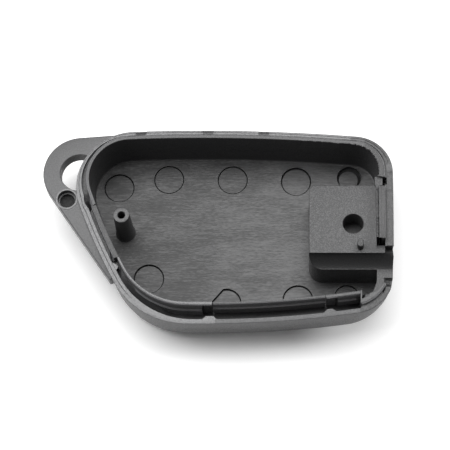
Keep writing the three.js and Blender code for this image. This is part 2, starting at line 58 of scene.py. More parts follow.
# Heights and boxes that the frame gives
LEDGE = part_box("rear_case")[1].z
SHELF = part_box("back_lip")[0].z
LIP_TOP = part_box("back_lip")[1].z
TONGUE_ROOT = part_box("front_snap_tongue")[0].z
TONGUE_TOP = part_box("front_snap_tongue")[1].z
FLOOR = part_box("screw_post")[0].z
SEAT_LOW, SEAT_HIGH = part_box("blade_seat")
LUG_LOW, LUG_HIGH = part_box("key_ring_lug")
POST_LOW, POST_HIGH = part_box("screw_post")
NUB_LOW, NUB_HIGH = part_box("blade_nub")
BAR_LOW, BAR_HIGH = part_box("right_snap_bar")
CASE_CENTRE = (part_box("rear_case")[0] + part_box("rear_case")[1]) / 2

# Sides and corners in the order in which they follow each other, anticlockwise
RIGHT, BACK, LEFT, FRONT = range(4)
FRONT_RIGHT, BACK_RIGHT, BACK_LEFT, FRONT_LEFT = range(4)
CORNER_SPAN, RIGHT_SPAN, FRONT_SPAN = 0, 1, 7
CORNER_STEPS = 40
SIDE_STEPS = (70, 170, 120, 130)
ORDER = "ring_order"
BEVEL_SEGMENTS = 3
SMOOTH_ANGLE = math.radians(32)
SHARP_EDGE = math.radians(40)
LUG_EDGE = math.radians(50)
SEAT_EDGE = math.radians(60)
SOFT_EDGE = 0.3
BLUE_SHARE = 1.03

# Least parts of a normal: upward on level ground and on the top of a lip, and outward on a lip's outer face
LEVEL_UP = 0.97
RIM_TOP_UP = 0.85
RIM_OUTWARD = 0.5

# Materials of a lip or a tongue, in their order; the outer faces' colours are painted light
RIM_WALL, RIM_TOP, RIM_PAINTED_LIGHT, RIM_DULL, RIM_PAINTED_LIGHT_LOW = range(5)

# Where the plastic's finish changes; SLOT_DARK and RECESS_START to RECESS_END bound painted shade, and
# DEEP_BELOW painted light
BLADE_END_X = 26.15 * MM
BACK_LUG_X = 24.8 * MM
BACK_DULL_X = 27.4 * MM
BRIGHT_FROM_X = 31.3 * MM
BRIGHT_FRONT = 10.65 * MM
BRIGHT_BACK = 12.0 * MM
CORNER_SHELF_X = 24 * MM
SLOT_FRONT = -11.2 * MM
SLOT_BACK = -3.85 * MM
SLOT_DARK = -6.3 * MM
RECESS_START = -2.35 * MM
RECESS_END = -0.55 * MM
DIP_BACK = -9.4 * MM
PAD_FRONT = -5.7 * MM
DEEP_BELOW = LEDGE - 2 * MM

# Shallow dip in the slot's floor, beside the end of the corner lip
DIP_MIDDLE = -10.6 * MM
DIP_DEPTH = 0.28 * MM
DIP_RADIUS = 1.5 * MM
DIP_FROM = 30.65 * MM
DIP_STEPS = 48


def length(name, description, millimetres):
    return FloatProperty(name=name, description=description, default=millimetres * MM, subtype="DISTANCE")


def lengths(name, description, millimetres):
    default = [value * MM for value in millimetres]
    return FloatVectorProperty(
        name=name, description=description, default=default, size=len(default), subtype="NONE", unit="LENGTH"
    )


def degrees(name, description, value):
    return FloatProperty(name=name, description=description, default=math.radians(value), subtype="ANGLE")


def number(name, description, value):
    return FloatProperty(name=name, description=description, default=value)


def colour(name, description, level):
    return FloatVectorProperty(
        name=name, description=description, default=(level, level, level * BLUE_SHARE), subtype="COLOR"
    )


class CaseSettings(bpy.types.PropertyGroup):
    """Outline and walls of the rear case."""

    length: length("Length", "Case without its lug", 58.9)
    width: length("Width", "Case from front to back", 37.5)
    middle: lengths("Middle", "Middle of the case in the frame", (3.149787, 0.011372))
    radii: lengths("Corner radii", "Front right, back right, back left, front left", (7.7, 8.1, 10.6, 14.1))
    outer_radii: lengths("Outer radii", "Those corners on the bulging outer wall", (7.6, 7.3, 10.8, 15.4))
    bulges: lengths("Bulges", "How far each side of the outer wall bulges past its bow", (0, 0.25, 0.1, 0.4))
    corner_lean: length("Corner lean", "How much more the front right corner leans in at the bottom", 3.0)
    bows: lengths("Bows", "Radii of the right, back, left and front sides", (900, 340, 111, 190))
    back_left_drop: length("Back left drop", "Back left corner below the bow of the back", 0.2)
    back_right_drop: length("Back right drop", "Fall of the back towards the blade end", 1.2)
    front_right_rise: length("Front right rise", "Rise of the front towards the blade end", 2.0)
    right_taper: length("Right taper", "Front right corner inside the blade end", 0.2)
    front_left_setback: length("Front left setback", "Front left corner from the left", 20.3)
    bottom_rounding: length("Bottom rounding", "Radius of the edge underneath", 3.8)
    edge_rounding: length("Edge rounding", "Radius of the ledge's outer edge", 0.08)
    floor_fillet: length("Floor fillet", "Radius where the wall meets the floor", 0.3)
    draft: degrees("Draft", "Lean of the walls", 3)


class RimSettings(bpy.types.PropertyGroup):
    """Rim section on the right, back, left and front sides."""

    ledges: lengths("Ledges", "Width of the ledge on each side", (1.2, 0.6, 1.3, 0.47))
    grooves: lengths("Grooves", "Width of the groove on each side", (0.35, 0.3, 0.55, 2.43))
    lips: lengths("Lips", "Thickness of the lip on each side", (1.05, 0.75, 0.95, 0.7))
    cavity_radii: lengths("Cavity radii", "Corner radii of the cavity", (3.4, 5.1, 7.6, 12.8))
    corner_ledge: length("Corner ledge", "Ledge outside the lip of the front right corner", 0.95)
    corner_lip: length("Corner lip", "Thickness of that lip", 0.8)
    left_thinning: length("Left thinning", "How much thinner the lip is round the left corners", 0.35)
    line_depth: length("Line depth", "Depth of the line that runs along the ledge", 0.07)
    tooth_length: length("Tooth length", "Tooth of the ledge beside each front slit", 1.6)
    tooth_depth: length("Tooth depth", "How far a tooth reaches into the groove", 0.6)
    notch_width: length("Notch width", "Notches in the outer edge of the back ledge", 1.9)


class TongueSettings(bpy.types.PropertyGroup):
    """Springy stretches of the rim."""

    lead_in: length("Lead-in", "Chamfer along the top", 0.1)
    thinning: length("Thinning", "How much thinner the front tongue is than the lip", 0.22)
    bead_depth: length("Bead depth", "How far the bead stands out", 0.3)
    bead_height: length("Bead height", "Height of the bead", 0.7)
    bead_below: length("Bead below", "Top of the bead below the ledge", 1.1)
    rounding: length("Rounding", "Radius of the top edges", 0.1)
    left_length: length("Left length", "Left tongue", 11.2)
    left_shift: length("Left shift", "Left tongue towards the back", -0.5)
    left_gap: length("Left gap", "Slit at each end of the left tongue", 0.12)
    front_start: length("Front start", "Front tongue past the front left corner's centre", 5.65)
    front_slit: length("Front slit", "Slit at each end of the front tongue", 0.16)
    corner_length: length("Corner length", "Corner tongue", 6.2)
    corner_end: length("Corner end", "End of the corner tongue from the blade end", 6.4)
    catch_length: length("Catch length", "Recess beside each front slit", 1.65)
    catch_web: length("Catch web", "Wall left behind that recess", 0.35)


class SeatSettings(bpy.types.PropertyGroup):
    """Blade seat, its nub and the slot in the blade end."""

    slot_width: length("Slot width", "Slot for the blade", 7.35)
    sill_depth: length("Sill depth", "Bottom of the slot below the ledge", 1.5)
    back: length("Back", "Back face of the seat from the middle", 7.6)
    pad_width: length("Pad width", "Pad from front to back", 13.3)
    ear_width: length("Ear width", "Strip of the pad that runs over the wall", 1.65)
    step_width: length("Step width", "Low step along the front of the pad", 2.5)
    corner: length("Corner", "Radius of the back left corner", 1.3)
    hole_radius: length("Hole radius", "Blind hole in the pad", 1.88)
    hole_depth: length("Hole depth", "Depth of that hole", 5.0)
    hole_from_left: length("Hole from left", "Hole from the left face of the seat", 8.1)
    hole_from_back: length("Hole from back", "Hole from the back face of the seat", 7.6)
    rounding: length("Rounding", "Radius of the pad's edges", 0.12)
    hollow_start: degrees("Hollow start", "Slope of the step beside the pad", 57)
    hollow_end: degrees("Hollow end", "Slope of the step at its front", 13.5)


class PostSettings(bpy.types.PropertyGroup):
    """Screw post."""

    top_radius: length("Top radius", "Radius at the top", 1.48)
    hole_radius: length("Hole radius", "Pilot hole", 0.68)
    hole_depth: length("Hole depth", "Depth of the pilot hole", 6.0)
    rounding: length("Rounding", "Radius of the top edges", 0.12)


class LugSettings(bpy.types.PropertyGroup):
    """Key ring lug."""

    reach: length("Reach", "Lug past the case", 6.5)
    radius: length("Radius", "Round end of the lug", 7.15)
    above: length("Above", "Centre of the round end above the back left corner's", 2.68)
    front_angle: degrees("Front angle", "Where the slanted edge ends", 204)
    front_standoff: length("Front standoff", "How far that end stands off the case", 0.72)
    back_angle: degrees("Back angle", "Where the back edge meets the case", 97)
    eyelet_radius: length("Eyelet radius", "Eye for the key ring", 3.6)
    eyelet_shift: length("Eyelet shift", "Eye towards the tip", 0.3)
    socket_radius: length("Socket radius", "Blind locating socket", 1.7)
    socket_depth: length("Socket depth", "Depth of the socket", 1.7)
    socket_from_edge: length("Socket from edge", "Socket from the slanted edge", 2.08)
    socket_along: length("Socket along", "Socket along the slanted edge", 3.0)
    rounding: length("Rounding", "Radius of the lug's edges", 0.2)


class FinishSettings(bpy.types.PropertyGroup):
    """Colours of the plastic, with lighter and darker copies that stand for painted light and painted shade.
    """

    wall: colour("Wall", "Plain walls", 0.05)
    outer: colour("Outer", "Outer wall", 0.052)
    # Painted shade: near-black for the hollow step and the slot's slopes, the pad's rounded left and back
    # edges and the nub's sides
    step: colour("Step", "Hollow step in front of the pad", 0.012)
    # Painted shade: near-black for the bottoms of the marks' pockets, the lug's socket and the back of the
    # blade slot
    pit: colour("Pit", "Bottoms of rings and sockets", 0.012)
    # Painted light: the lips' outer faces get a lighter colour than the walls, standing in for the light
    # that falls on them
    slope: colour("Slope", "Outer faces of the lips", 0.2)
    # Painted light: lighter still below the bead, where the groove would shade the face
    deep: colour("Deep", "Outer faces of the lips below the bead", 0.28)
    dull: colour("Dull", "Ledge and lip of the blade end", 0.04)
    floor: colour("Floor", "Brushed floor", 0.028)
    rim: colour("Rim", "Ledge and lip tops", 0.1)
    pad: colour("Pad", "Grained pad", 0.052)
    lug: colour("Lug", "Lug and duller rim", 0.064)


class StageSettings(bpy.types.PropertyGroup):
    """Camera, table and lights."""

    elevation: degrees("Elevation", "Camera above the horizon", 69)
    azimuth: degrees("Azimuth", "Camera round from the front", 7)
    distance: length("Distance", "From the camera to the aim point", 333.95)
    aim: lengths("Aim", "Point on the shell that lands on the aim pixel", (0.23, -1.075, 10))
    aim_pixel: FloatVectorProperty(
        name="Aim pixel",
        description="Where the aim point lands, from the top left",
        default=(218, 231),
        size=2,
    )
    focal_pixels: number("Focal length", "In pixels of the picture", 1810)
    frame_pixels: number("Frame", "Width of the picture in pixels", 450)
    clip: lengths("Clip", "Nearest and furthest that the camera sees", (10, 20000))
    softbox_size: lengths("Softbox", "Width and depth of the softbox", (1000, 360))
    softbox_place: lengths("Softbox place", "Middle of the softbox", (-40, 160, 460))
    softbox_power: FloatProperty(name="Softbox power", description="In watts", default=5.3, subtype="POWER")
    ambient: number("Ambient", "Light from the room", 0.22)
    table_radius: length("Table radius", "Radius of the table", 2000)
    table_level: number("Table level", "Share of the light that the table throws back", 0.9)
    table_gain: number("Table gain", "How much brighter the table is seen", 1.12)
    # Painted light: white glow mixed into the table's shadow at the blade end, from fill_from to fill_to
    shadow_fill: number("Shadow fill", "White mixed into the shadow at the blade end", 0.38)
    fill_from: length("Fill from", "Where the shadow starts to lighten", 13)
    fill_to: length("Fill to", "Where the shadow is lightest", 25)
    white_from: length("White from", "Where the table starts to fade to white", 60)
    white_to: length("White to", "Where the table is wholly white", 150)


SETTINGS = {
    "shell_case": CaseSettings,
    "shell_rim": RimSettings,
    "shell_tongue": TongueSettings,
    "shell_seat": SeatSettings,
    "shell_post": PostSettings,
    "shell_lug": LugSettings,
    "shell_finish": FinishSettings,
    "shell_stage": StageSettings,
}


# Outline of the rim


def circles_meet(first, first_radius, second, second_radius):
    """Meeting point of two circles, on the left of the line from the first centre to the second."""
    between = second - first
    distance = between.length
    along = (first_radius**2 - second_radius**2 + distance**2) / (2 * distance)
    aside = math.sqrt(first_radius**2 - along**2)
    unit = between / distance
    return first + unit * along + Vector((-unit.y, unit.x)) * aside


def angle_from(centre, point):
    return math.atan2(point.y - centre.y, point.x - centre.x)


def point_on(centre, radius, angle):
    return Vector((centre.x + radius * math.cos(angle), centre.y + radius * math.sin(angle)))


class Outline:
    """Corner circles and side circles of the outer wall."""

    def __init__(self, case):
        middle = Vector(case.middle)
        self.left = middle.x - case.length / 2
        self.right = middle.x + case.length / 2
        self.front = middle.y - case.width / 2
        self.back = middle.y + case.width / 2
        self.radii = list(case.radii)
        front_right, back_right, back_left, front_left = self.radii
        self.corners = [
            Vector((
                self.right - case.right_taper - front_right,
                self.front + case.front_right_rise + front_right,
            )),
            Vector((self.right - back_right, self.back - case.back_right_drop - back_right)),
            Vector((self.left + back_left, self.back - case.back_left_drop - back_left)),
            Vector((self.left + case.front_left_setback, self.front + front_left)),
        ]
        self.bows = list(case.bows)
        self.sides = []
        for side, bow in enumerate(self.bows):
            end = (side + 1) % 4
            before, after = bow - self.radii[side], bow - self.radii[end]
            self.sides.append(circles_meet(self.corners[side], before, self.corners[end], after))

    def edge(self, insets, radii=None):
        """Line round the case with each side set in by its own amount."""
        if radii is None:
            means = [(insets[index - 1] + inset) / 2 for index, inset in enumerate(insets)]
            radii = [radius - mean for radius, mean in zip(self.radii, means)]
        return Edge(self, insets, radii)


class Edge:
    """Closed line round the rim. A place on it runs from 0 to 8: even spans are corners, odd ones sides."""

    HALVINGS = 40
    SHORT_OF_END = 1e-9

    def __init__(self, outline, insets, radii):
        reach = [bow - inset for bow, inset in zip(outline.bows, insets)]
        centres = []
        for index, radius in enumerate(radii):
            before = outline.sides[index - 1]
            centres.append(
                circles_meet(before, reach[index - 1] - radius, outline.sides[index], reach[index] - radius)
            )
        self.spans = []
        for index, radius in enumerate(radii):
            side = outline.sides[index]
            start = angle_from(outline.sides[index - 1], centres[index])
            end = angle_from(side, centres[index])
            stop = angle_from(side, centres[(index + 1) % 4])
            self.spans.append((centres[index], radius, start, (end - start) % math.tau))
            self.spans.append((side, reach[index], end, (stop - end) % math.tau))

    def at(self, place):
        centre, radius, start, turn = self.spans[int(place) % 8]
        return point_on(centre, radius, start + turn * (place - int(place)))

    def points(self, places):
        return [self.at(place) for place in places]

    def inward(self, place):
        """Direction from the line into the shell."""
        _, _, start, turn = self.spans[int(place) % 8]
        angle = start + turn * (place - int(place))
        return Vector((-math.cos(angle), -math.sin(angle)))

    def crossing(self, span, axis, value):
        """Place on a span where x, axis 0, or y, axis 1, has a value."""
        low, high = span, span + 1 - self.SHORT_OF_END
        rising = self.at(high)[axis] > self.at(low)[axis]
        for _ in range(self.HALVINGS):
            middle = (low + high) / 2
            if (self.at(middle)[axis] < value) == rising:
                low = middle
            else:
                high = middle
        return (low + high) / 2


def whole_round():
    """Places all the way round the rim."""
    places = []
    for index in range(4):
        places += [2 * index + step / CORNER_STEPS for step in range(CORNER_STEPS)]
        places += [2 * index + 1 + step / SIDE_STEPS[index] for step in range(SIDE_STEPS[index])]
    return places


def along(place, stops):
    """Value at a place, straight between stops of place and value."""
    for (start, first), (end, second) in zip(stops, stops[1:]):
        if place <= end:
            return first + (second - first) * max(0, place - start) / (end - start)
    return stops[-1][1]


def stops_from(base, pairs):
    """Stops past a base place, from steps along the rim and millimetres."""
    return [(base + step, amount * MM) for step, amount in pairs]


def quarter(steps):
    """Angles of a quarter turn, from 0 up."""
    return [math.pi / 2 * step / steps for step in range(steps + 1)]


def stretch(start, end, step):
    """Places from start to end, about a step apart, with none skipped at either end."""
    count = max(2, round((end - start) / step))
    return [start + (end - start) * index / count for index in range(count + 1)]


class Rim:
    """The lines of the rim that pieces follow, and where its stretches begin and end."""

    # Depths of the groove: steps along the rim, past 0 or past an end of the left tongue, and millimetres
    BACK_GROOVE = ((1, 0.2), (2, 0.2), (3, 0.25), (4, 0.25), (4.7, 0.8))
    GROOVE_TO_LEFT = ((-0.2, 0.8), (-0.12, 1.3), (-0.06, 2.4), (-0.03, 3.2), (0, 3.2), (0.004, 0.8))
    GROOVE_FROM_LEFT = ((-0.12, 0.8), (-0.08, 1.7), (0.1, 1.7))
    FRONT_GROOVE = ((6.2, 2.6), (6.4, 3.6), (6.6, 4.4))
    FRONT_DEEP = 6.8
    FILLED_PAST = 0.05 * MM
    FILLED_DEPTH = 0.02 * MM

    # How far the lip's outer face is set in: places along the rim, and millimetres
    PLAIN_UNTIL = 4.2
    THIN_FROM = 4.8
    THIN_AGAIN = 6.5
    AFTER_LEFT = ((6.1, 0.5),)
    BEFORE_FRONT = ((6.95, 0.08), (7.15, 0))
    LEFT_END_THINNING = 0.55 * MM
    JUMP = 0.001
    HOLLOW_STEPS = 24

    def __init__(self, scene):
        case, rim, tongue, seat = scene.shell_case, scene.shell_rim, scene.shell_tongue, scene.shell_seat
        self.outline = Outline(case)
        ledges, grooves, lips = list(rim.ledges), list(rim.grooves), list(rim.lips)
        lip_insets = [ledge + groove for ledge, groove in zip(ledges, grooves)]
        self.cavity_insets = [inset + lip for inset, lip in zip(lip_insets, lips)]
        self.cavity_radii = list(rim.cavity_radii)
        lip_radii = [radius + (lips[i - 1] + lips[i]) / 2 for i, radius in enumerate(self.cavity_radii)]
        ledge_radii = [radius + (grooves[i - 1] + grooves[i]) / 2 for i, radius in enumerate(lip_radii)]
        self.bulges = list(case.bulges)
        self.outer_radii = list(case.outer_radii)
        self.corner_lean = case.corner_lean
        self.outer = self.outer_line(0, LEDGE)
        self.corner_outer = self.outline.edge([rim.corner_ledge] * 4)
        self.corner_inner = self.outline.edge([rim.corner_ledge + rim.corner_lip] * 4)
        self.ledge = self.outline.edge(ledges, ledge_radii)
        self.lip = self.outline.edge(lip_insets, lip_radii)
        self.cavity = self.cavity_line(0)
        self.pad_front = case.middle[1] + seat.back - seat.pad_width
        self.slot_back = self.pad_front + seat.ear_width
        self.slot_front = self.slot_back - seat.slot_width
        self.sill = LEDGE - seat.sill_depth
        self.hollow = self.hollow_profile(seat)
        self.corner_end = self.outline.right - tongue.corner_end
        self.corner_start = self.corner_end - tongue.corner_length
        self.front_start = self.outline.corners[FRONT_LEFT].x + tongue.front_start
        self.front_end = self.corner_start - tongue.front_slit
        self.left_start, self.left_end = self.left_ends(tongue, tongue.left_gap)
        self.groove_stops = self.groove_depths()
        self.thinning = self.lip_thinning(rim.left_thinning)
        self.left_catch = self.front_start - tongue.front_slit
        self.right_catch = self.corner_start + tongue.catch_length / 2

    def left_ends(self, tongue, slit):
        """Places where the left tongue, with a slit at each end, starts and ends."""
        _, radius, _, turn = self.cavity.spans[2 * LEFT + 1]
        middle = 2 * LEFT + 1.5 - tongue.left_shift / self.outline.bows[LEFT] / turn
        half = (tongue.left_length / 2 + slit) / (radius * turn)
        return middle - half, middle + half

    def groove_depths(self):
        """Stops of the groove's depth below the ledge: shallow lines, and deep along the front."""
        deep = LEDGE - SHELF
        return [
            (0, deep),
            *stops_from(0, self.BACK_GROOVE),
            *stops_from(self.left_start, self.GROOVE_TO_LEFT),
            *stops_from(self.left_end, self.GROOVE_FROM_LEFT),
            *stops_from(0, self.FRONT_GROOVE),
            (self.FRONT_DEEP, deep),
            (8, deep),
        ]

    def groove_depth(self, place, point):
        """Depth of the groove at a point. It is filled from the corner tongue to the blade slot."""
        if point.y < self.slot_front and point.x > self.corner_end + self.FILLED_PAST:
            return self.FILLED_DEPTH
        return along(place, self.groove_stops)

    def lip_thinning(self, thin):
        """Stops of how far the lip's outer face is set in, round the left corners and the front."""
        return [
            (self.PLAIN_UNTIL, 0),
            (self.THIN_FROM, thin),
            (self.left_start, thin),
            (self.left_start + self.JUMP, 0),
            (self.left_end - self.JUMP, 0),
            (self.left_end, self.LEFT_END_THINNING),
            *stops_from(0, self.AFTER_LEFT),
            (self.THIN_AGAIN, thin),
            *stops_from(0, self.BEFORE_FRONT),
        ]

    def hollow_profile(self, seat):
        """Y and z pairs of the round hollow, from the pad's front face down to level ground."""
        start, end = seat.hollow_start, seat.hollow_end
        radius = seat.step_width / (math.sin(start) - math.sin(end))
        y = self.pad_front - radius * math.sin(start)
        z = self.sill + radius * math.cos(end)
        steps = self.HOLLOW_STEPS
        turns = [start * (1 - step / steps) for step in range(steps + 1)]
        return [(y + radius * math.sin(turn), z - radius * math.cos(turn)) for turn in turns]

    def outer_line(self, inset, z):
        """Outer wall at a height, set in evenly."""
        radii = [radius - inset for radius in self.outer_radii]
        radii[FRONT_RIGHT] += self.corner_lean * (1 - z / LEDGE)
        return self.outline.edge([inset - bulge for bulge in self.bulges], radii)

    def cavity_line(self, amount):
        """Line of the cavity wall, set in further by an even amount."""
        insets = [inset + amount for inset in self.cavity_insets]
        return self.outline.edge(insets, [radius - amount for radius in self.cavity_radii])


# Modelling


def activate(piece):
    bpy.ops.object.select_all(action="DESELECT")
    piece.select_set(True)
    bpy.context.view_layer.objects.active = piece


def place_selected(piece, points):
    """Sets the selected corners, in their order round the ring, on the points."""
    mesh = bmesh.from_edit_mesh(piece.data)
    order = mesh.verts.layers.int[ORDER]
    for vertex in mesh.verts:
        if vertex.select:
            vertex.co = points[vertex[order]]
    bmesh.update_edit_mesh(piece.data)


def loft(name, rings):
    """Closed body: a filled circle set on the first ring and extruded from ring to ring."""
    bpy.ops.object.select_all(action="DESELECT")
    bpy.ops.mesh.primitive_circle_add(vertices=len(rings[0]), fill_type="NGON")
    piece = bpy.context.object
    piece.name = name
    piece.data.name = name
    order = piece.data.attributes.new(ORDER, "INT", "POINT")
    for index in range(len(rings[0])):
        order.data[index].value = index
    bpy.ops.object.mode_set(mode="EDIT")
    bpy.ops.mesh.select_all(action="SELECT")
    place_selected(piece, rings[0])
    for ring in rings[1:]:
        bpy.ops.mesh.extrude_region_move()
        place_selected(piece, ring)
    bpy.ops.mesh.select_all(action="SELECT")
    bpy.ops.mesh.normals_make_consistent(inside=False)
    bpy.ops.object.mode_set(mode="OBJECT")
    piece.data.attributes.remove(piece.data.attributes[ORDER])
    return piece


def spot(x, y):
    """Point given in millimetres."""
    return Vector((x * MM, y * MM))


def raised(points, z):
    return [Vector((point.x, point.y, z)) for point in points]


def round_ring(x, y, radius, z, steps):
    angles = [math.tau * step / steps for step in range(steps)]
    return [Vector((x + radius * math.cos(a), y + radius * math.sin(a), z)) for a in angles]


def turned(name, x, y, profile, steps):
    """Round body from radius and height pairs, from the bottom up."""
    return loft(name, [round_ring(x, y, radius, z, steps) for radius, z in profile])


def past(radius, z, pairs):
    """Radius and height pairs past a radius and a height, from millimetres."""
    return [(radius + aside * MM, z + rise * MM) for aside, rise in pairs]


def combine(piece, tool, operation):
    """Joins a tool to a piece, or cuts it away, and removes the tool."""
    activate(piece)
    bpy.ops.object.modifier_add(type="BOOLEAN")
    modifier = piece.modifiers[-1]
    modifier.operation = operation
    modifier.solver = "EXACT"
    modifier.object = tool
    bpy.ops.object.modifier_apply(modifier=modifier.name)
    bpy.data.objects.remove(tool)


def box_tool(low, high):
    """Box between two corners."""
    low, high = Vector(low), Vector(high)
    bpy.ops.object.select_all(action="DESELECT")
    bpy.ops.mesh.primitive_cube_add(size=1)
    tool = bpy.context.object
    tool.data.transform(Matrix.Translation((low + high) / 2) @ Matrix.Diagonal((high - low).to_4d()))
    return tool


def bar_tool(profile, low, high):
    """Bar along X from y and z pairs."""
    return loft("bar", [[Vector((x, y, z)) for y, z in profile] for x in (low, high)])


def prism(name, points, low, high):
    """Upright body over a flat outline."""
    return loft(name, [raised(points, low), raised(points, high)])


def round_edges(piece, width, angle):
    activate(piece)
    bpy.ops.object.modifier_add(type="BEVEL")
    modifier = piece.modifiers[-1]
    modifier.width = width
    modifier.segments = BEVEL_SEGMENTS
    modifier.limit_method = "ANGLE"
    modifier.angle_limit = angle
    bpy.ops.object.modifier_apply(modifier=modifier.name)


def finish_piece(piece, body, slot, *nodes):
    """Smooths a piece, puts it on its body and lets it stand for its frame nodes."""
    activate(piece)
    bpy.ops.object.shade_smooth_by_angle(angle=SMOOTH_ANGLE)
    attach(piece, body)
    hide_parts(*nodes)


def paint(piece, materials, pick):
    """Gives each face the material whose index pick returns from its middle and normal."""
    piece.data.materials.clear()
    for material in materials:
        piece.data.materials.append(material)
    for face in piece.data.polygons:
        face.material_index = pick(face.center, face.normal)


# Shader nodes


class Sock:
    """A shader socket that takes part in Python maths."""

    def __init__(self, tree, socket):
        self.tree = tree
        self.socket = socket

    def math(self, operation, first, second):
        return self.tree.node("ShaderNodeMath", {"operation": operation}, {0: first, 1: second})

    def __add__(self, other):
        return self.math("ADD", self, other)

    def __sub__(self, other):
        return self.math("SUBTRACT", self, other)

    def __rsub__(self, other):
        return self.math("SUBTRACT", other, self)

    def __mul__(self, other):
        return self.math("MULTIPLY", self, other)

    __radd__ = __add__
    __rmul__ = __mul__


# Colour sockets of the mix node, whose names are shared with its other sockets
MIX_FIRST, MIX_SECOND, MIX_RESULT = 6, 7, 2


class Tree:
    """A node tree with one way to add a node: its type, its settings, then its sockets."""

    def __init__(self, owner):
        owner.use_nodes = True
        self.nodes = owner.node_tree.nodes
        self.links = owner.node_tree.links
        self.nodes.clear()

    def node(self, kind, settings=None, sockets=None, output=0):
        made = self.nodes.new(kind)
        for name, value in (settings or {}).items():
            setattr(made, name, value)
        for name, value in (sockets or {}).items():
            if isinstance(value, Sock):
                self.links.new(value.socket, made.inputs[name])
            else:
                made.inputs[name].default_value = value
        return Sock(self, made.outputs[output]) if len(made.outputs) else made

    def mix(self, factor, first, second):
        """Colour between two others."""
        sockets = {"Factor": factor, MIX_FIRST: first, MIX_SECOND: second}
        return self.node("ShaderNodeMix", {"data_type": "RGBA"}, sockets, MIX_RESULT)

    def smooth(self, value, low, high):
        return self.node(
            "ShaderNodeMapRange",
            {"interpolation_type": "SMOOTHSTEP"},
            {"Value": value, "From Min": low, "From Max": high},
        )

    def place(self, scale=(1, 1, 1)):
        """Object coordinates, stretched."""
        here = self.node("ShaderNodeTexCoord", output="Object")
        return self.node("ShaderNodeMapping", None, {"Vector": here, "Scale": scale})

    def noise(self, where, scale, detail):
        return self.node("ShaderNodeTexNoise", None, {"Vector": where, "Scale": scale, "Detail": detail})


def opaque(rgb, share):
    return (rgb[0] * share, rgb[1] * share, rgb[2] * share, 1)


GLOSS_SHIFT = 0.16
COAT_ROUGHNESS = 0.25


def plastic(name, rgb, roughness, pattern, contrast, height, coat):
    """Moulded plastic whose pattern, from 0 to 1, shifts its colour, gloss and relief."""
    material = bpy.data.materials.new(name)
    tree = Tree(material)
    value = pattern(tree)
    shade = tree.mix(value, opaque(rgb, 1 - contrast), opaque(rgb, 1 + contrast))
    relief = tree.node("ShaderNodeBump", None, {"Strength": 1, "Distance": height, "Height": value})
    shader = tree.node(
        "ShaderNodeBsdfPrincipled",
        None,
        {
            "Base Color": shade,
            "Roughness": roughness + GLOSS_SHIFT * (0.5 - value),
            "Coat Weight": coat,
            "Coat Roughness": COAT_ROUGHNESS,
            "Normal": relief,
        },
    )
    tree.node("ShaderNodeOutputMaterial", None, {"Surface": shader})
    return material


# Grain of a textured mould, in changes per metre
FINE_GRAIN = 4200


def fine_grain(tree):
    """Even grain of a textured mould."""
    return tree.smooth(tree.noise(tree.place(), FINE_GRAIN, 3), 0.32, 0.68)


# Noise of the brushed floor, in changes per metre, and the painted light that it gains per metre, lighter
# towards the blade end and the front where more light falls
SHORT_STROKES = (1200, 5600, 1200)
LONG_STROKES = (330, 3900, 330)
BRIGHT_STROKES = (800, 4300, 800)
PATCHES = (95, 210, 95)
PAINTED_LIGHT_PER_METRE = (18, -2, 0)


def brushed(tree):
    """Fine strokes along X over soft patches, with painted light that makes it lighter towards the blade end
    and the front.
    """
    short = tree.noise(tree.place(SHORT_STROKES), 1, 2)
    long = tree.noise(tree.place(LONG_STROKES), 1, 2)
    patches = tree.noise(tree.place(PATCHES), 1, 3)
    bright = tree.smooth(tree.noise(tree.place(BRIGHT_STROKES), 1, 1), 0.62, 0.76)
    strokes = tree.smooth(0.45 * short + 0.35 * long + 0.2 * patches, 0.35, 0.65)
    # Painted light: the floor's colour grows lighter towards the blade end and the front
    sockets = {0: tree.place(), 1: PAINTED_LIGHT_PER_METRE}
    painted_light = tree.node("ShaderNodeVectorMath", {"operation": "DOT_PRODUCT"}, sockets, "Value")
    return strokes + 0.35 * bright + 0.7 * patches + painted_light - 0.48


# Grain and specks of the pad, in changes per metre, and where the pad gets darker
PAD_GRAIN = 4700
PAD_SPECKS = 3100
PAD_SHADE_FROM = 26.2 * MM
PAD_SHADE_TO = 29.6 * MM


def sparkle(tree):
    """Spark-eroded grain with a few bright specks, darker towards the bar."""
    grain = tree.smooth(tree.noise(tree.place(), PAD_GRAIN, 2), 0.34, 0.66)
    specks = tree.smooth(tree.noise(tree.place(), PAD_SPECKS, 1), 0.64, 0.74)
    along_x = tree.node("ShaderNodeSeparateXYZ", None, {0: tree.place()}, "X")
    return grain * 0.7 + 0.3 * specks - 0.4 * tree.smooth(along_x, PAD_SHADE_FROM, PAD_SHADE_TO)


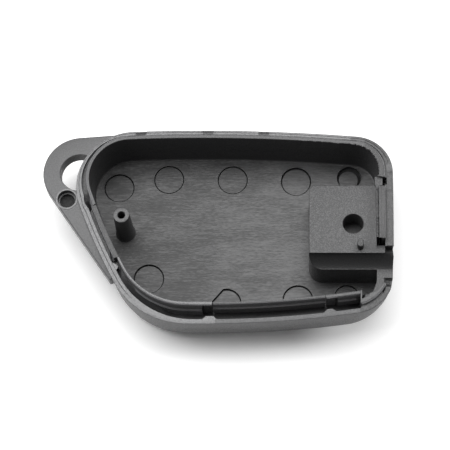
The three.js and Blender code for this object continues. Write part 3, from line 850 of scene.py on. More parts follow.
class Finishes:
    """The plastic's finishes, made once and shared."""

    # Name of the material, roughness, pattern, contrast, relief in millimetres and coat
    KINDS = {
        "wall": ("satin_wall", 0.42, fine_grain, 0.15, 0.005, 0),
        "outer": ("outer_wall", 0.42, fine_grain, 0.15, 0.008, 0),
        # Painted shade: the near-black step colour
        "step": ("hollow_step_painted_shade", 0.37, fine_grain, 0.3, 0.012, 0),
        # Painted shade: the near-black pit colour
        "pit": ("painted_shade_pit", 0.8, fine_grain, 0.2, 0.01, 0),
        # The next two are painted light: lighter copies of the wall for the lips' outer faces, the lower one
        # lighter still
        "slope": ("lip_face_painted_light", 0.45, fine_grain, 0.15, 0.006, 0),
        "deep": ("lip_root_painted_light", 0.5, fine_grain, 0.15, 0.006, 0),
        "dull": ("dull_rim", 0.45, fine_grain, 0.25, 0.012, 0),
        "floor": ("brushed_floor", 0.425, brushed, 0.5, 0.012, 0),
        "rim": ("polished_rim", 0.32, fine_grain, 0.3, 0.012, 0.3),
        "pad": ("grained_pad", 0.4, sparkle, 0.42, 0.03, 0),
        "lug": ("textured_lug", 0.4, fine_grain, 0.14, 0.008, 0),
    }

    def __init__(self, scene):
        for kind, (name, roughness, pattern, contrast, relief, coat) in self.KINDS.items():
            rgb = getattr(scene.shell_finish, kind)
            setattr(self, kind, plastic(name, rgb, roughness, pattern, contrast, relief * MM, coat))

    @classmethod
    def get(cls, scene):
        if not hasattr(cls, "shared"):
            cls.shared = cls(scene)
        return cls.shared


# Pieces


def trapezoid(value, middle, width, slope):
    """1 inside a width round the middle, falling to 0 over the slope on either side."""
    return min(1, max(0, (width / 2 + slope / 2 - abs(value - middle)) / slope))


class SHELL_OT_rear_case(bpy.types.Operator):
    """Models the rear case: floor, walls, ledge and groove, with its marks and slot"""

    bl_idname = "shell.rear_case"
    bl_label = "Rear case"

    FINISHES = ("wall", "floor", "pit", "rim", "outer", "dull", "lug", "step")
    BOTTOM_STEPS = 8
    EDGE_STEPS = 3
    FILLET_STEPS = 4

    # Line along the ledge, in shares of its width, with stops of where it runs
    LINE_SHARE = 0.5
    LINE_HALF = 0.06
    LINED = ((0, 0), (2.1, 0), (2.4, 1), (6.1, 1), (6.4, 0), (8, 0))
    INNER_SHARE = 0.93
    INNER_DROP = 0.07 * MM

    # Notches in the back ledge, as x and depth, and the one at the blade end, as y, width and depth
    NOTCHES = ((-14.55, 0.2), (-1.95, 0.07), (8.55, 0.08))
    NOTCH_SLOPE = 0.35 * MM
    NOTCH_REACH = MM
    END_NOTCH = (8.7 * MM, 3.8 * MM, 0.12 * MM)

    # Groove: its distance from the lip, and stops of the share of its depth that it keeps there
    LIP_GAP = 0.04 * MM
    RISE = ((5.85, 1), (6, 0.7), (6.3, 0.5), (6.6, 0.55), (6.85, 1))

    # Pocket before the left tongue, in steps along the rim, and the teeth beside the front slits
    POCKET_BEFORE = 0.1
    POCKET_LENGTH = 0.1
    POCKET_SLOPE = 0.06
    POCKET_DEPTH = 0.3 * MM
    LEFT_TOOTH_BEFORE = 0.5 * MM
    LEFT_TOOTH_LONGER = 0.4 * MM
    LEFT_TOOTH_SLOPE = 0.6 * MM
    RIGHT_TOOTH_SLOPE = 0.7 * MM

    # Bridge over the groove past the left tongue
    BRIDGE = ((-19.3, -7.3), (-18.6, -9.4), (-17.95, -8.15), (-18.4, -7.75))
    BRIDGE_DROP = 0.06 * MM

    # Slot for the blade, and the hole beside the bar
    SLOT_SINK = 0.03 * MM
    SLOT_BELOW_LEDGE = 0.25 * MM
    SLOT_FALL = 0.2 * MM
    BAR_HOLE = ((30.55, 8.05, 8.4), (31.42, 9.5, 12))

    # Ejector marks: x, y, height of the disc over the floor and half the width of its ring
    MARK_RADIUS = 2.8 * MM
    MARK_DEPTH = 0.8 * MM
    MARKS = (
        (-19.25, 10.91, -0.3, 0.09),
        (-9.75, 12.61, -0.1, 0.08),
        (2.45, 12.51, -0.16, 0.08),
        (14.55, 12.21, -0.35, 0.1),
        (-13.05, -7.49, -0.4, 0.09),
        (1.55, -12.29, -0.45, 0.09),
        (14.95, -11.59, -0.4, 0.08),
    )

    # Small marks: x, y, shift of the disc in x and y, and its radius
    SMALL_MARK_RADIUS = 2.3 * MM
    SMALL_MARK_DEPTH = 0.85 * MM
    SMALL_MARKS = (
        (24.65, 12.91, -0.1, -0.4, 1.85),
        (24.05, -10.99, -0.03, -0.05, 2.2),
    )
    SMALL_RISE = -0.15 * MM
    DISC_EDGE = 0.06 * MM
    DISC_ROOT = 0.2 * MM
    RING_STEPS = 64

    # Straight side of the chipped mark: its direction, its distance and how far round it may reach
    CHIPPED = 5
    CHIP_ANGLE = math.radians(140)
    CHIP_FROM = 2.2 * MM
    CHIP_COSINE = 0.5

    # Upward parts of a normal and heights that tell floor, rings, ledge, groove and underside apart
    FLOOR_UP = 0.8
    TOP_UP = 0.4
    CORNER_UP = 0.95
    UNDERSIDE_UP = -0.5
    FLOOR_HIGHEST = FLOOR + 0.1 * MM
    FLOOR_LOWEST = FLOOR - 0.6 * MM
    LEDGE_LOWEST = LEDGE - 0.27 * MM
    GROOVE_DULL = LEDGE - 1.2 * MM

    def execute(self, context):
        scene = context.scene
        rim = Rim(scene)
        piece = loft("rear_case", self.rings(scene, rim))
        bridge = [spot(x, y) for x, y in self.BRIDGE]
        combine(piece, prism("bridge", bridge, SHELF, LEDGE - self.BRIDGE_DROP), "UNION")
        self.cut_slot(piece, rim)
        self.press_marks(piece)
        finishes = Finishes.get(scene)
        paint(piece, [getattr(finishes, name) for name in self.FINISHES], self.pick)
        finish_piece(piece, "case", "case_plastic", "rear_case")
        return {"FINISHED"}

    def rings(self, scene, rim):
        """Rings from the underside, up the outer wall, over the ledge and down to the floor."""
        case, sizes = scene.shell_case, scene.shell_rim
        places = whole_round()
        lean = math.tan(case.draft)
        rings = []
        for turn in quarter(self.BOTTOM_STEPS):
            z = case.bottom_rounding * (1 - math.cos(turn))
            inset = case.bottom_rounding * (1 - math.sin(turn)) + lean * (LEDGE - z)
            rings.append(raised(rim.outer_line(inset, z).points(places), z))
        edge = case.edge_rounding
        for turn in quarter(self.EDGE_STEPS):
            line = rim.outer_line(edge * (1 - math.cos(turn)), LEDGE)
            drop = edge * (1 - math.sin(turn))
            rings.append([self.on_ledge(point, drop, sizes, 0) for point in line.points(places)])
        for share, drop in (
            (self.LINE_SHARE - self.LINE_HALF, 0),
            (self.LINE_SHARE, sizes.line_depth),
            (self.LINE_SHARE + self.LINE_HALF, 0),
            (self.INNER_SHARE, 0),
            (1, self.INNER_DROP),
        ):
            rings.append([self.across(rim, place, share, drop, sizes) for place in places])
        for reach in (0, 1):
            rings.append([self.in_groove(rim, place, reach, sizes) for place in places])
        rings.append(raised(rings[-1], SHELF))
        rings.append(raised(rim.cavity.points(places), SHELF))
        fillet = case.floor_fillet
        for turn in quarter(self.FILLET_STEPS):
            z = FLOOR + fillet * (1 - math.sin(turn))
            inset = lean * (SHELF - z) + fillet * (1 - math.cos(turn))
            rings.append(raised(rim.cavity_line(inset).points(places), z))
        return rings

    def on_ledge(self, point, drop, sizes, share):
        """Point at the ledge's height, lower in the back notches, which slope down to the outside."""
        if point.y > 0:
            for middle, depth in self.NOTCHES:
                notch = trapezoid(point.x, middle * MM, sizes.notch_width, self.NOTCH_SLOPE)
                drop += (1 - share) * depth * MM * notch
        if point.x > BLADE_END_X:
            middle, width, depth = self.END_NOTCH
            drop += depth * trapezoid(point.y, middle, width, self.NOTCH_SLOPE)
        return Vector((point.x, point.y, LEDGE - drop))

    def across(self, rim, place, share, drop, sizes):
        """Point at a share of the ledge's width, with the drop where the line runs."""
        point = rim.outer.at(place).lerp(self.inner_edge(rim, place, sizes), share)
        return self.on_ledge(point, drop * along(place, self.LINED), sizes, share)

    def in_groove(self, rim, place, reach, sizes):
        """Corner of the groove, beside the ledge or, with reach 1, just short of the lip."""
        point, share = self.inner_edge(rim, place, sizes), 1
        if reach:
            point = rim.lip.at(place) + rim.lip.inward(place) * (along(place, rim.thinning) - self.LIP_GAP)
            share = along(place, self.RISE)
        return Vector((point.x, point.y, LEDGE - share * rim.groove_depth(place, point)))

    def inner_edge(self, rim, place, sizes):
        """Inner edge of the ledge: a pocket before the left tongue, and a tooth beside each front slit."""
        point, inward = rim.ledge.at(place), rim.ledge.inward(place)
        if point.y > 0:
            middle = rim.left_start - self.POCKET_BEFORE
            pocket = trapezoid(place, middle, self.POCKET_LENGTH, self.POCKET_SLOPE)
            return point - inward * self.POCKET_DEPTH * pocket
        middle, width = rim.left_catch - self.LEFT_TOOTH_BEFORE, sizes.tooth_length + self.LEFT_TOOTH_LONGER
        reach = trapezoid(point.x, middle, width, self.LEFT_TOOTH_SLOPE)
        reach += trapezoid(point.x, rim.right_catch, sizes.tooth_length, self.RIGHT_TOOTH_SLOPE)
        return point + inward * reach * sizes.tooth_depth

    def cut_slot(self, piece, rim):
        """Slot for the blade, through the wall: flat, hollow like the step, then falling to the back."""
        top, low = LEDGE + MM, rim.sill - self.SLOT_FALL
        front, back, right = rim.slot_front, rim.slot_back, rim.outline.right
        hollow = [(y, z - self.SLOT_SINK) for y, z in rim.hollow if z < LEDGE - self.SLOT_BELOW_LEDGE]
        profile = [(front, top), (front, hollow[-1][1]), *reversed(hollow)]
        profile += [(back - self.SLOT_FALL, low), (back, low), (back, top)]
        slot = bar_tool(profile, right - rim.cavity_insets[RIGHT] - MM, right + MM)
        combine(piece, slot, "DIFFERENCE")
        combine(piece, dip_tool(rim), "DIFFERENCE")
        low, high = (Vector(corner) * MM for corner in self.BAR_HOLE)
        combine(piece, box_tool(low, high), "DIFFERENCE")

    def press_marks(self, piece):
        """Round ejector marks: each a disc in a narrow ring, a little low."""
        for index, (x, y, rise, gap) in enumerate(self.MARKS):
            middle, gap = spot(x, y), gap * MM
            bottom, chip = FLOOR - self.MARK_DEPTH, index == self.CHIPPED
            self.pocket(piece, middle, self.MARK_RADIUS + gap, bottom, chip)
            self.disc(piece, middle, self.MARK_RADIUS - gap, bottom, FLOOR + rise * MM, chip)
        for x, y, aside, ahead, radius in self.SMALL_MARKS:
            middle = spot(x, y)
            bottom = FLOOR - self.SMALL_MARK_DEPTH
            self.pocket(piece, middle, self.SMALL_MARK_RADIUS, bottom)
            beside = middle + spot(aside, ahead)
            self.disc(piece, beside, radius * MM, bottom, FLOOR + self.SMALL_RISE)

    def ring(self, middle, radius, chip):
        """Circle, with a straight side where the mark is chipped."""
        points = []
        for step in range(self.RING_STEPS):
            angle = math.tau * step / self.RING_STEPS
            towards = math.cos(angle - self.CHIP_ANGLE)
            near = self.CHIP_FROM - self.MARK_RADIUS + radius
            reach = min(radius, near / towards) if chip and towards > self.CHIP_COSINE else radius
            points.append(point_on(middle, reach, angle))
        return points

    def pocket(self, piece, middle, radius, bottom, chip=False):
        combine(piece, prism("pocket", self.ring(middle, radius, chip), bottom, FLOOR + MM), "DIFFERENCE")

    def disc(self, piece, middle, radius, bottom, top, chip=False):
        edge = self.DISC_EDGE
        levels = [(radius, bottom - self.DISC_ROOT), (radius, top - edge), (radius - edge, top)]
        rings = [raised(self.ring(middle, reach, chip), z) for reach, z in levels]
        combine(piece, loft("disc", rings), "UNION")

    def pick(self, middle, normal):
        return self.FINISHES.index(self.finish(middle, normal))

    def finish(self, middle, normal):
        """Name of a face's finish."""
        if normal.z > self.FLOOR_UP and middle.z < self.FLOOR_HIGHEST:
            # Painted shade: the bottoms of the marks' pockets get the pit colour
            return "floor" if middle.z > self.FLOOR_LOWEST else "pit"
        if normal.z > self.TOP_UP:
            on_ledge = middle.z > self.LEDGE_LOWEST
            return self.ledge_finish(middle, normal) if on_ledge else self.low_finish(middle, normal)
        away = Vector((middle.x - CASE_CENTRE.x, middle.y - CASE_CENTRE.y, 0))
        return "outer" if normal.dot(away) > 0 or normal.z < self.UNDERSIDE_UP else "wall"

    def low_finish(self, middle, normal):
        """Name of the finish of a face in the groove, on the shelf or in the slot."""
        if middle.x > BLADE_END_X and SLOT_FRONT < middle.y < SLOT_BACK and middle.z > SHELF + MM:
            # Painted shade in the slot: its back gets the pit colour and its slopes the step colour
            return "pit" if middle.y > SLOT_DARK else "dull" if normal.z > LEVEL_UP else "step"
        if middle.x > CORNER_SHELF_X and middle.y < SLOT_FRONT:
            return "floor"
        return "dull" if middle.z > self.GROOVE_DULL else "wall"

    def ledge_finish(self, middle, normal):
        """Name of the finish of a face on the ledge: dull at the blade end, brightest at the front left."""
        if middle.y < 0:
            if middle.x < BLADE_END_X:
                return "rim" if middle.x < 0 else "lug"
            return "wall" if middle.y < SLOT_FRONT and normal.z < self.CORNER_UP else "dull"
        if any(abs(middle.x - x * MM) < self.NOTCH_REACH for x, _ in self.NOTCHES):
            return "dull"
        if middle.x < BACK_LUG_X:
            return "rim"
        bright = middle.x > BRIGHT_FROM_X and BRIGHT_FRONT < middle.y < BRIGHT_BACK
        return "lug" if bright or middle.x < BACK_DULL_X else "dull"


def dip_tool(rim):
    """Tool for the shallow dip in the slot's floor beside the end of the corner lip."""
    z = rim.hollow[-1][1] - DIP_DEPTH + DIP_RADIUS
    turns = [math.tau * step / DIP_STEPS for step in range(DIP_STEPS)]
    profile = [(DIP_MIDDLE + DIP_RADIUS * math.cos(turn), z + DIP_RADIUS * math.sin(turn)) for turn in turns]
    return bar_tool(profile, DIP_FROM, rim.outline.right + MM)


def sweep(name, outer, inner, places, section):
    """Body along the rim: at each place a section of offsets from the inner line and heights."""
    rings = []
    for place in places:
        start, end = inner.at(place), outer.at(place)
        thickness = (end - start).length
        outward = (end - start) / thickness
        rings.append([
            Vector((start.x + outward.x * offset, start.y + outward.y * offset, z))
            for offset, z in section(place, thickness)
        ])
    return loft(name, rings)


# Section of a lip: stops that change nothing, then lengths in roundings and shares of the ragged edge
NO_CHANGE = ((0, 0), (9, 0))
LEAST_FLAT = 2.2
INNER_BELOW = 4
WEB_BELOW = 2
RAGGED_BELOW = 0.6


def lip_section(
    tongue, root, top, chamfers, webs=(), flash=None, notch=NO_CHANGE, thinning=NO_CHANGE, lower=0
):
    """Upright section with a chamfered top and a bead on its outer face.

    The chamfer changes from stop to stop along the rim. Between the places of a web only a thin wall is left
    under the top, flash makes the inner edge ragged, notch sets the inner face back and thinning the outer
    one. The bead can lie lower than on a tongue.
    """
    bead_top = LEDGE - tongue.bead_below - lower
    rounding = tongue.rounding
    soft = rounding * SOFT_EDGE

    def section(place, thickness):
        thickness, bead = thickness - along(place, thinning), tongue.bead_depth
        lead_in = min(along(place, chamfers), thickness - LEAST_FLAT * rounding)
        flat = thickness - lead_in
        ragged = flash(place) if flash else 0
        inner = along(place, notch)
        face, face_top = thickness, bead_top
        if any(start <= place <= end for start, end in webs):
            face, face_top, bead = tongue.catch_web, top - lead_in - WEB_BELOW * rounding, 0
        return [
            (inner, root),
            (inner, top - INNER_BELOW * rounding),
            (inner - ragged * RAGGED_BELOW, top - rounding),
            (inner + soft - ragged, top - soft),
            (inner + rounding - ragged, top),
            (flat - rounding, top),
            (flat, top - soft),
            (thickness - soft, top - lead_in),
            (thickness, top - lead_in - rounding),
            (face, face_top),
            (face + bead, bead_top - tongue.bead_height / 2),
            (face, bead_top - tongue.bead_height),
            (face, root),
        ]

    return section


def rim_pick(middle, normal):
    """Material of a face on a lip or tongue: tops are dull by the blade, and outward faces take the lighter
    colours of painted light.
    """
    if normal.z > RIM_TOP_UP:
        return RIM_DULL if middle.x > BACK_DULL_X and middle.y > SLOT_FRONT else RIM_TOP
    away = Vector((middle.x - CASE_CENTRE.x, middle.y - CASE_CENTRE.y, 0)).normalized()
    if normal.dot(away) < RIM_OUTWARD:
        return RIM_WALL
    # Painted shade: outward faces in the catch recess keep the darker top colour, as if shaded by its roof
    if middle.y < 0 and RECESS_START < middle.x < RECESS_END and middle.z < LEDGE:
        return RIM_TOP
    # Painted light: outward faces get the lighter colours, lightest low down at the front
    return RIM_PAINTED_LIGHT_LOW if middle.z < DEEP_BELOW and middle.y < 0 else RIM_PAINTED_LIGHT


class SHELL_OT_lips(bpy.types.Operator):
    """Models the three fixed lips of the rim"""

    bl_idname = "shell.lips"
    bl_label = "Fixed lips"

    STEP = 0.006
    PAST_BAR = 1.85 * MM
    BACK_CHAMFERS = ((3, 0.12), (4, 0.12), (4.6, 0.2), (6, 0.2))
    CHAMFERS = ((5, 0.12), (10, 0.12))
    LOWER_BEAD = 0.4 * MM

    # Ragged edge along the back: stops in millimetres, then how often it changes
    FLASH = ((1.9, 0.34), (2.8, 0.3), (3.15, 0.22), (3.3, 0))
    FLASH_COARSE = 90
    FLASH_FINE = 230

    # Corner lip: its start, its upright end, and x and offset of the notch in its inner face
    CORNER_START = 26.3 * MM
    CORNER_STOP = -11.65 * MM
    END_WIDTH = 0.28 * MM
    END_FRONT = 0.3 * MM
    END_BACK = -12.95 * MM
    END_ROUNDING = 0.06 * MM
    NOTCH = ((26.5, -0.15), (27.2, -0.2), (27.95, -0.2), (28.15, -0.45), (28.6, -0.3))
    LAST_THINNING = ((-0.25, 0), (0, 0.35))

    def execute(self, context):
        scene = context.scene
        rim, tongue = Rim(scene), scene.shell_tongue
        finishes = Finishes.get(scene)
        bar_end = rim.cavity.crossing(RIGHT_SPAN, 1, BAR_HIGH.y + self.PAST_BAR)
        slit = rim.front_start - tongue.front_slit
        freed = rim.cavity.crossing(FRONT_SPAN, 0, slit)
        catch = rim.cavity.crossing(FRONT_SPAN, 0, slit - tongue.catch_length)
        lines = (rim.lip, rim.cavity)
        back = stops_from(0, self.BACK_CHAMFERS)
        section = lip_section(tongue, SHELF, LIP_TOP, back, flash=self.flash, thinning=rim.thinning)
        self.make(lines, finishes, finishes.lug, "back_lip", (bar_end, rim.left_start), section)
        plain = stops_from(0, self.CHAMFERS)
        webs, lower = [(catch, freed)], self.LOWER_BEAD
        section = lip_section(tongue, SHELF, LIP_TOP, plain, webs, thinning=rim.thinning, lower=lower)
        self.make(lines, finishes, finishes.rim, "front_left_lip", (rim.left_end, freed), section)
        lines = (rim.corner_outer, rim.corner_inner)
        start = 8 + rim.corner_inner.crossing(CORNER_SPAN, 0, self.CORNER_START)
        end = 8 + rim.corner_outer.crossing(CORNER_SPAN, 1, self.CORNER_STOP)
        section = lip_section(tongue, SHELF, LIP_TOP, plain, notch=self.notch(rim, start, end))
        upright = self.corner_end(rim)
        self.make(lines, finishes, finishes.lug, "corner_lip", (start, end), section, upright)
        return {"FINISHED"}

    def corner_end(self, rim):
        """Upright end of the corner lip, which reaches further into the shell."""
        line, x = rim.corner_outer, self.CORNER_START
        front = line.at(line.crossing(CORNER_SPAN, 0, x)).y + self.END_FRONT
        block = box_tool((x, front, SHELF), (x + self.END_WIDTH, self.END_BACK, LIP_TOP))
        round_edges(block, self.END_ROUNDING, SHARP_EDGE)
        return block

    def make(self, lines, finishes, top, name, ends, section, block=None):
        piece = sweep(name, *lines, stretch(*ends, self.STEP), section)
        if block:
            combine(piece, block, "UNION")
        paint(piece, [finishes.wall, top, finishes.slope, finishes.dull, finishes.deep], rim_pick)
        finish_piece(piece, "case", "case_plastic", name)

    def notch(self, rim, start, end):
        """Stops of the inner face: a notch near the start and a thinner end."""
        stops = [(start, 0)]
        for x, offset in self.NOTCH:
            stops.append((8 + rim.corner_inner.crossing(CORNER_SPAN, 0, x * MM), offset * MM))
        return stops + stops_from(end, self.LAST_THINNING)

    def flash(self, place):
        """Ragged edge that thins out along the back."""
        rough = noise.noise(Vector((place * self.FLASH_COARSE, 0.3, 0)))
        rough += 0.6 * noise.noise(Vector((place * self.FLASH_FINE, 1.7, 0)))
        return along(place, stops_from(0, self.FLASH)) * max(0, 0.35 + rough)


class SHELL_OT_tongues(bpy.types.Operator):
    """Models the three snap tongues and the snap bar"""

    bl_idname = "shell.tongues"
    bl_label = "Snap tongues"

    STEP = 0.01
    BAR_ROUNDING = 0.1 * MM
    FLANGE_FROM = 29.85 * MM
    FLANGE_LOW = 10.97 * MM
    FLANGE_HIGH = 11.16 * MM
    FLANGE_INSET = 0.1 * MM
    FLANGE_ROOT = 0.2 * MM
    FLANGE_ROUNDING = 0.06 * MM

    def execute(self, context):
        scene = context.scene
        rim, tongue = Rim(scene), scene.shell_tongue
        finishes = Finishes.get(scene)
        front = [rim.cavity.crossing(FRONT_SPAN, 0, x) for x in (rim.front_start, rim.front_end)]
        corner = [rim.cavity.crossing(FRONT_SPAN, 0, x) for x in (rim.corner_start, rim.corner_end)]
        catch = rim.cavity.crossing(FRONT_SPAN, 0, rim.corner_start + tongue.catch_length)
        left = rim.left_ends(tongue, 0)
        chamfers = [(0, tongue.lead_in), (8, tongue.lead_in)]
        thinning = [(0, tongue.thinning), (9, tongue.thinning)]
        plain = lip_section(tongue, TONGUE_ROOT, TONGUE_TOP, chamfers)
        thin = lip_section(tongue, TONGUE_ROOT, TONGUE_TOP, chamfers, thinning=thinning)
        caught = lip_section(tongue, TONGUE_ROOT, TONGUE_TOP, chamfers, [(corner[0], catch)])
        self.make(rim, finishes, finishes.dull, "left_snap_tongue", "left_tongue", left, plain)
        self.make(rim, finishes, finishes.lug, "front_snap_tongue", "front_tongue", front, thin)
        self.make(rim, finishes, finishes.lug, "corner_snap_tongue", "corner_tongue", corner, caught)
        self.make_bar(finishes)
        return {"FINISHED"}

    def make(self, rim, finishes, top, name, body, ends, section):
        piece = sweep(name, rim.lip, rim.cavity, stretch(*ends, self.STEP), section)
        paint(piece, [finishes.wall, top, finishes.slope, top, finishes.slope], rim_pick)
        finish_piece(piece, body, "case_plastic", name)

    def make_bar(self, finishes):
        """Bar with a thin flange towards the pad."""
        bar = box_tool(BAR_LOW, BAR_HIGH)
        bar.name = "right_snap_bar"
        round_edges(bar, self.BAR_ROUNDING, SHARP_EDGE)
        low = (self.FLANGE_FROM, BAR_LOW.y + self.FLANGE_INSET, self.FLANGE_LOW)
        high = (BAR_LOW.x + self.FLANGE_ROOT, BAR_HIGH.y - self.FLANGE_INSET, self.FLANGE_HIGH)
        flange = box_tool(low, high)
        round_edges(flange, self.FLANGE_ROUNDING, SHARP_EDGE)
        combine(bar, flange, "UNION")
        paint(bar, [finishes.wall, finishes.rim, finishes.slope, finishes.dull, finishes.slope], rim_pick)
        finish_piece(bar, "right_bar", "case_plastic", "right_snap_bar")


class SHELL_OT_lug(bpy.types.Operator):
    """Models the key ring lug with its eyelet and locating socket"""

    bl_idname = "shell.lug"
    bl_label = "Key ring lug"

    ARC_STEPS = 60
    ROOT_DEPTH = 0.45 * MM
    FRONT_ROOT = 1.5 * MM
    BACK_ROOT = (1, -2)

    # Profiles in millimetres past a radius and a height
    EYELET_STEPS = 72
    EYELET_FOOT = ((1.12, -1), (0.12, 0), (0, 0.12))
    EYELET_MOUTH = ((0, -0.12), (0.12, 0), (1.12, 1))
    SOCKET_STEPS = 48
    SOCKET_FOOT = ((-0.36, 0), (-0.3, 0.7), (-0.04, 0.75))
    SOCKET_MOUTH = ((0, 0), (0.06, 0.1), (0.06, 1))
    RING = ((0.4, -0.3), (0.4, 0), (0.34, 0.08))

    # Upward part of a normal and heights that tell the ring, the socket's step and its bottom apart; the
    # bottom gets painted shade
    TOP_UP = 0.5
    RING_LOWEST = LUG_HIGH.z + 0.02 * MM
    DARK = LUG_HIGH.z - 0.5 * MM
    DARKEST = LUG_HIGH.z - 1.4 * MM

    def execute(self, context):
        scene = context.scene
        lug, outline = scene.shell_lug, Outline(scene.shell_case)
        points, centre, touch, front = self.plan(lug, outline)
        piece = prism("key_ring_lug", points, LUG_LOW.z, LUG_HIGH.z)
        round_edges(piece, lug.rounding, LUG_EDGE)
        line = outline.edge([self.ROOT_DEPTH] * 4)
        room = prism("room", line.points(whole_round()), LUG_LOW.z - MM, LUG_HIGH.z + MM)
        combine(piece, room, "DIFFERENCE")
        self.cut_eyelet(piece, lug, centre)
        self.cut_socket(piece, lug, touch, front)
        finishes = Finishes.get(scene)
        paint(piece, [finishes.lug, finishes.wall, finishes.pit, finishes.rim, finishes.dull], self.pick)
        finish_piece(piece, "case", "case_plastic", "key_ring_lug")
        return {"FINISHED"}

    def pick(self, middle, normal):
        top, wall, pit, ring, dull = range(5)
        if middle.z > self.RING_LOWEST:
            return ring
        if normal.z > self.TOP_UP and middle.z < self.DARK:
            return pit if middle.z < self.DARKEST else dull
        return wall if abs(normal.z) < self.TOP_UP else top

    def plan(self, lug, outline):
        """Outline of the plate, with the centre of its round end and its slanted front edge."""
        corner, radius = outline.corners[FRONT_LEFT], outline.radii[FRONT_LEFT]
        front = point_on(corner, radius + lug.front_standoff, lug.front_angle)
        root = point_on(corner, radius - self.FRONT_ROOT, lug.front_angle)
        back = point_on(outline.corners[BACK_LEFT], outline.radii[BACK_LEFT], lug.back_angle)
        centre = Vector((
            outline.left - lug.reach + lug.radius,
            outline.corners[BACK_LEFT].y + lug.above,
        ))
        touch = self.touch(front, centre, lug.radius, -1)
        back_touch = self.touch(back, centre, lug.radius, 1)
        start = angle_from(centre, back_touch)
        turn = (angle_from(centre, touch) - start) % math.tau
        turns = [turn * step / self.ARC_STEPS for step in range(self.ARC_STEPS + 1)]
        arc = [point_on(centre, lug.radius, start + further) for further in turns]
        return [front, root, back + spot(*self.BACK_ROOT), back, *arc], centre, touch, front

    def touch(self, point, centre, radius, side):
        """Where a straight edge from the point touches the round end."""
        turn = math.acos(radius / (point - centre).length)
        return point_on(centre, radius, angle_from(centre, point) + side * turn)

    def cut_eyelet(self, piece, lug, centre):
        profile = past(lug.eyelet_radius, LUG_LOW.z, self.EYELET_FOOT)
        profile += past(lug.eyelet_radius, LUG_HIGH.z, self.EYELET_MOUTH)
        eyelet = turned("eyelet", centre.x - lug.eyelet_shift, centre.y, profile, self.EYELET_STEPS)
        combine(piece, eyelet, "DIFFERENCE")

    def cut_socket(self, piece, lug, touch, front):
        """Blind stepped socket beside the slanted edge, with a raised ring round it."""
        edge = (front - touch).normalized()
        middle = touch + edge * lug.socket_along + Vector((-edge.y, edge.x)) * lug.socket_from_edge
        radius, top = lug.socket_radius, LUG_HIGH.z
        ring = past(radius, top, self.RING)
        combine(piece, turned("ring", middle.x, middle.y, ring, self.SOCKET_STEPS), "UNION")
        profile = past(radius, top - lug.socket_depth, self.SOCKET_FOOT)
        profile += past(radius, top, self.SOCKET_MOUTH)
        combine(piece, turned("socket", middle.x, middle.y, profile, self.SOCKET_STEPS), "DIFFERENCE")


class SHELL_OT_post(bpy.types.Operator):
    """Models the screw post with its pilot hole"""

    bl_idname = "shell.post"
    bl_label = "Screw post"

    STEPS = 64
    FOOT = ((0.25, -0.1), (0.08, 0.12), (0, 0.35))
    HOLE_TAPER = 0.92
    TOP_UP = 0.5

    def execute(self, context):
        post = context.scene.shell_post
        middle = (POST_LOW + POST_HIGH) / 2
        base = (POST_HIGH.x - POST_LOW.x) / 2
        top, edge = POST_HIGH.z, post.rounding
        soft = edge * SOFT_EDGE
        profile = past(base, POST_LOW.z, self.FOOT)
        profile += [
            (post.top_radius, top - edge),
            (post.top_radius - soft, top - soft),
            (post.top_radius - edge, top),
            (post.hole_radius + edge, top),
            (post.hole_radius, top - edge),
            (post.hole_radius * self.HOLE_TAPER, top - post.hole_depth),
        ]
        piece = turned("screw_post", middle.x, middle.y, profile, self.STEPS)
        finishes = Finishes.get(context.scene)
        paint(piece, [finishes.wall, finishes.lug], lambda middle, normal: int(normal.z > self.TOP_UP))
        finish_piece(piece, "case", "case_plastic", "screw_post")
        return {"FINISHED"}


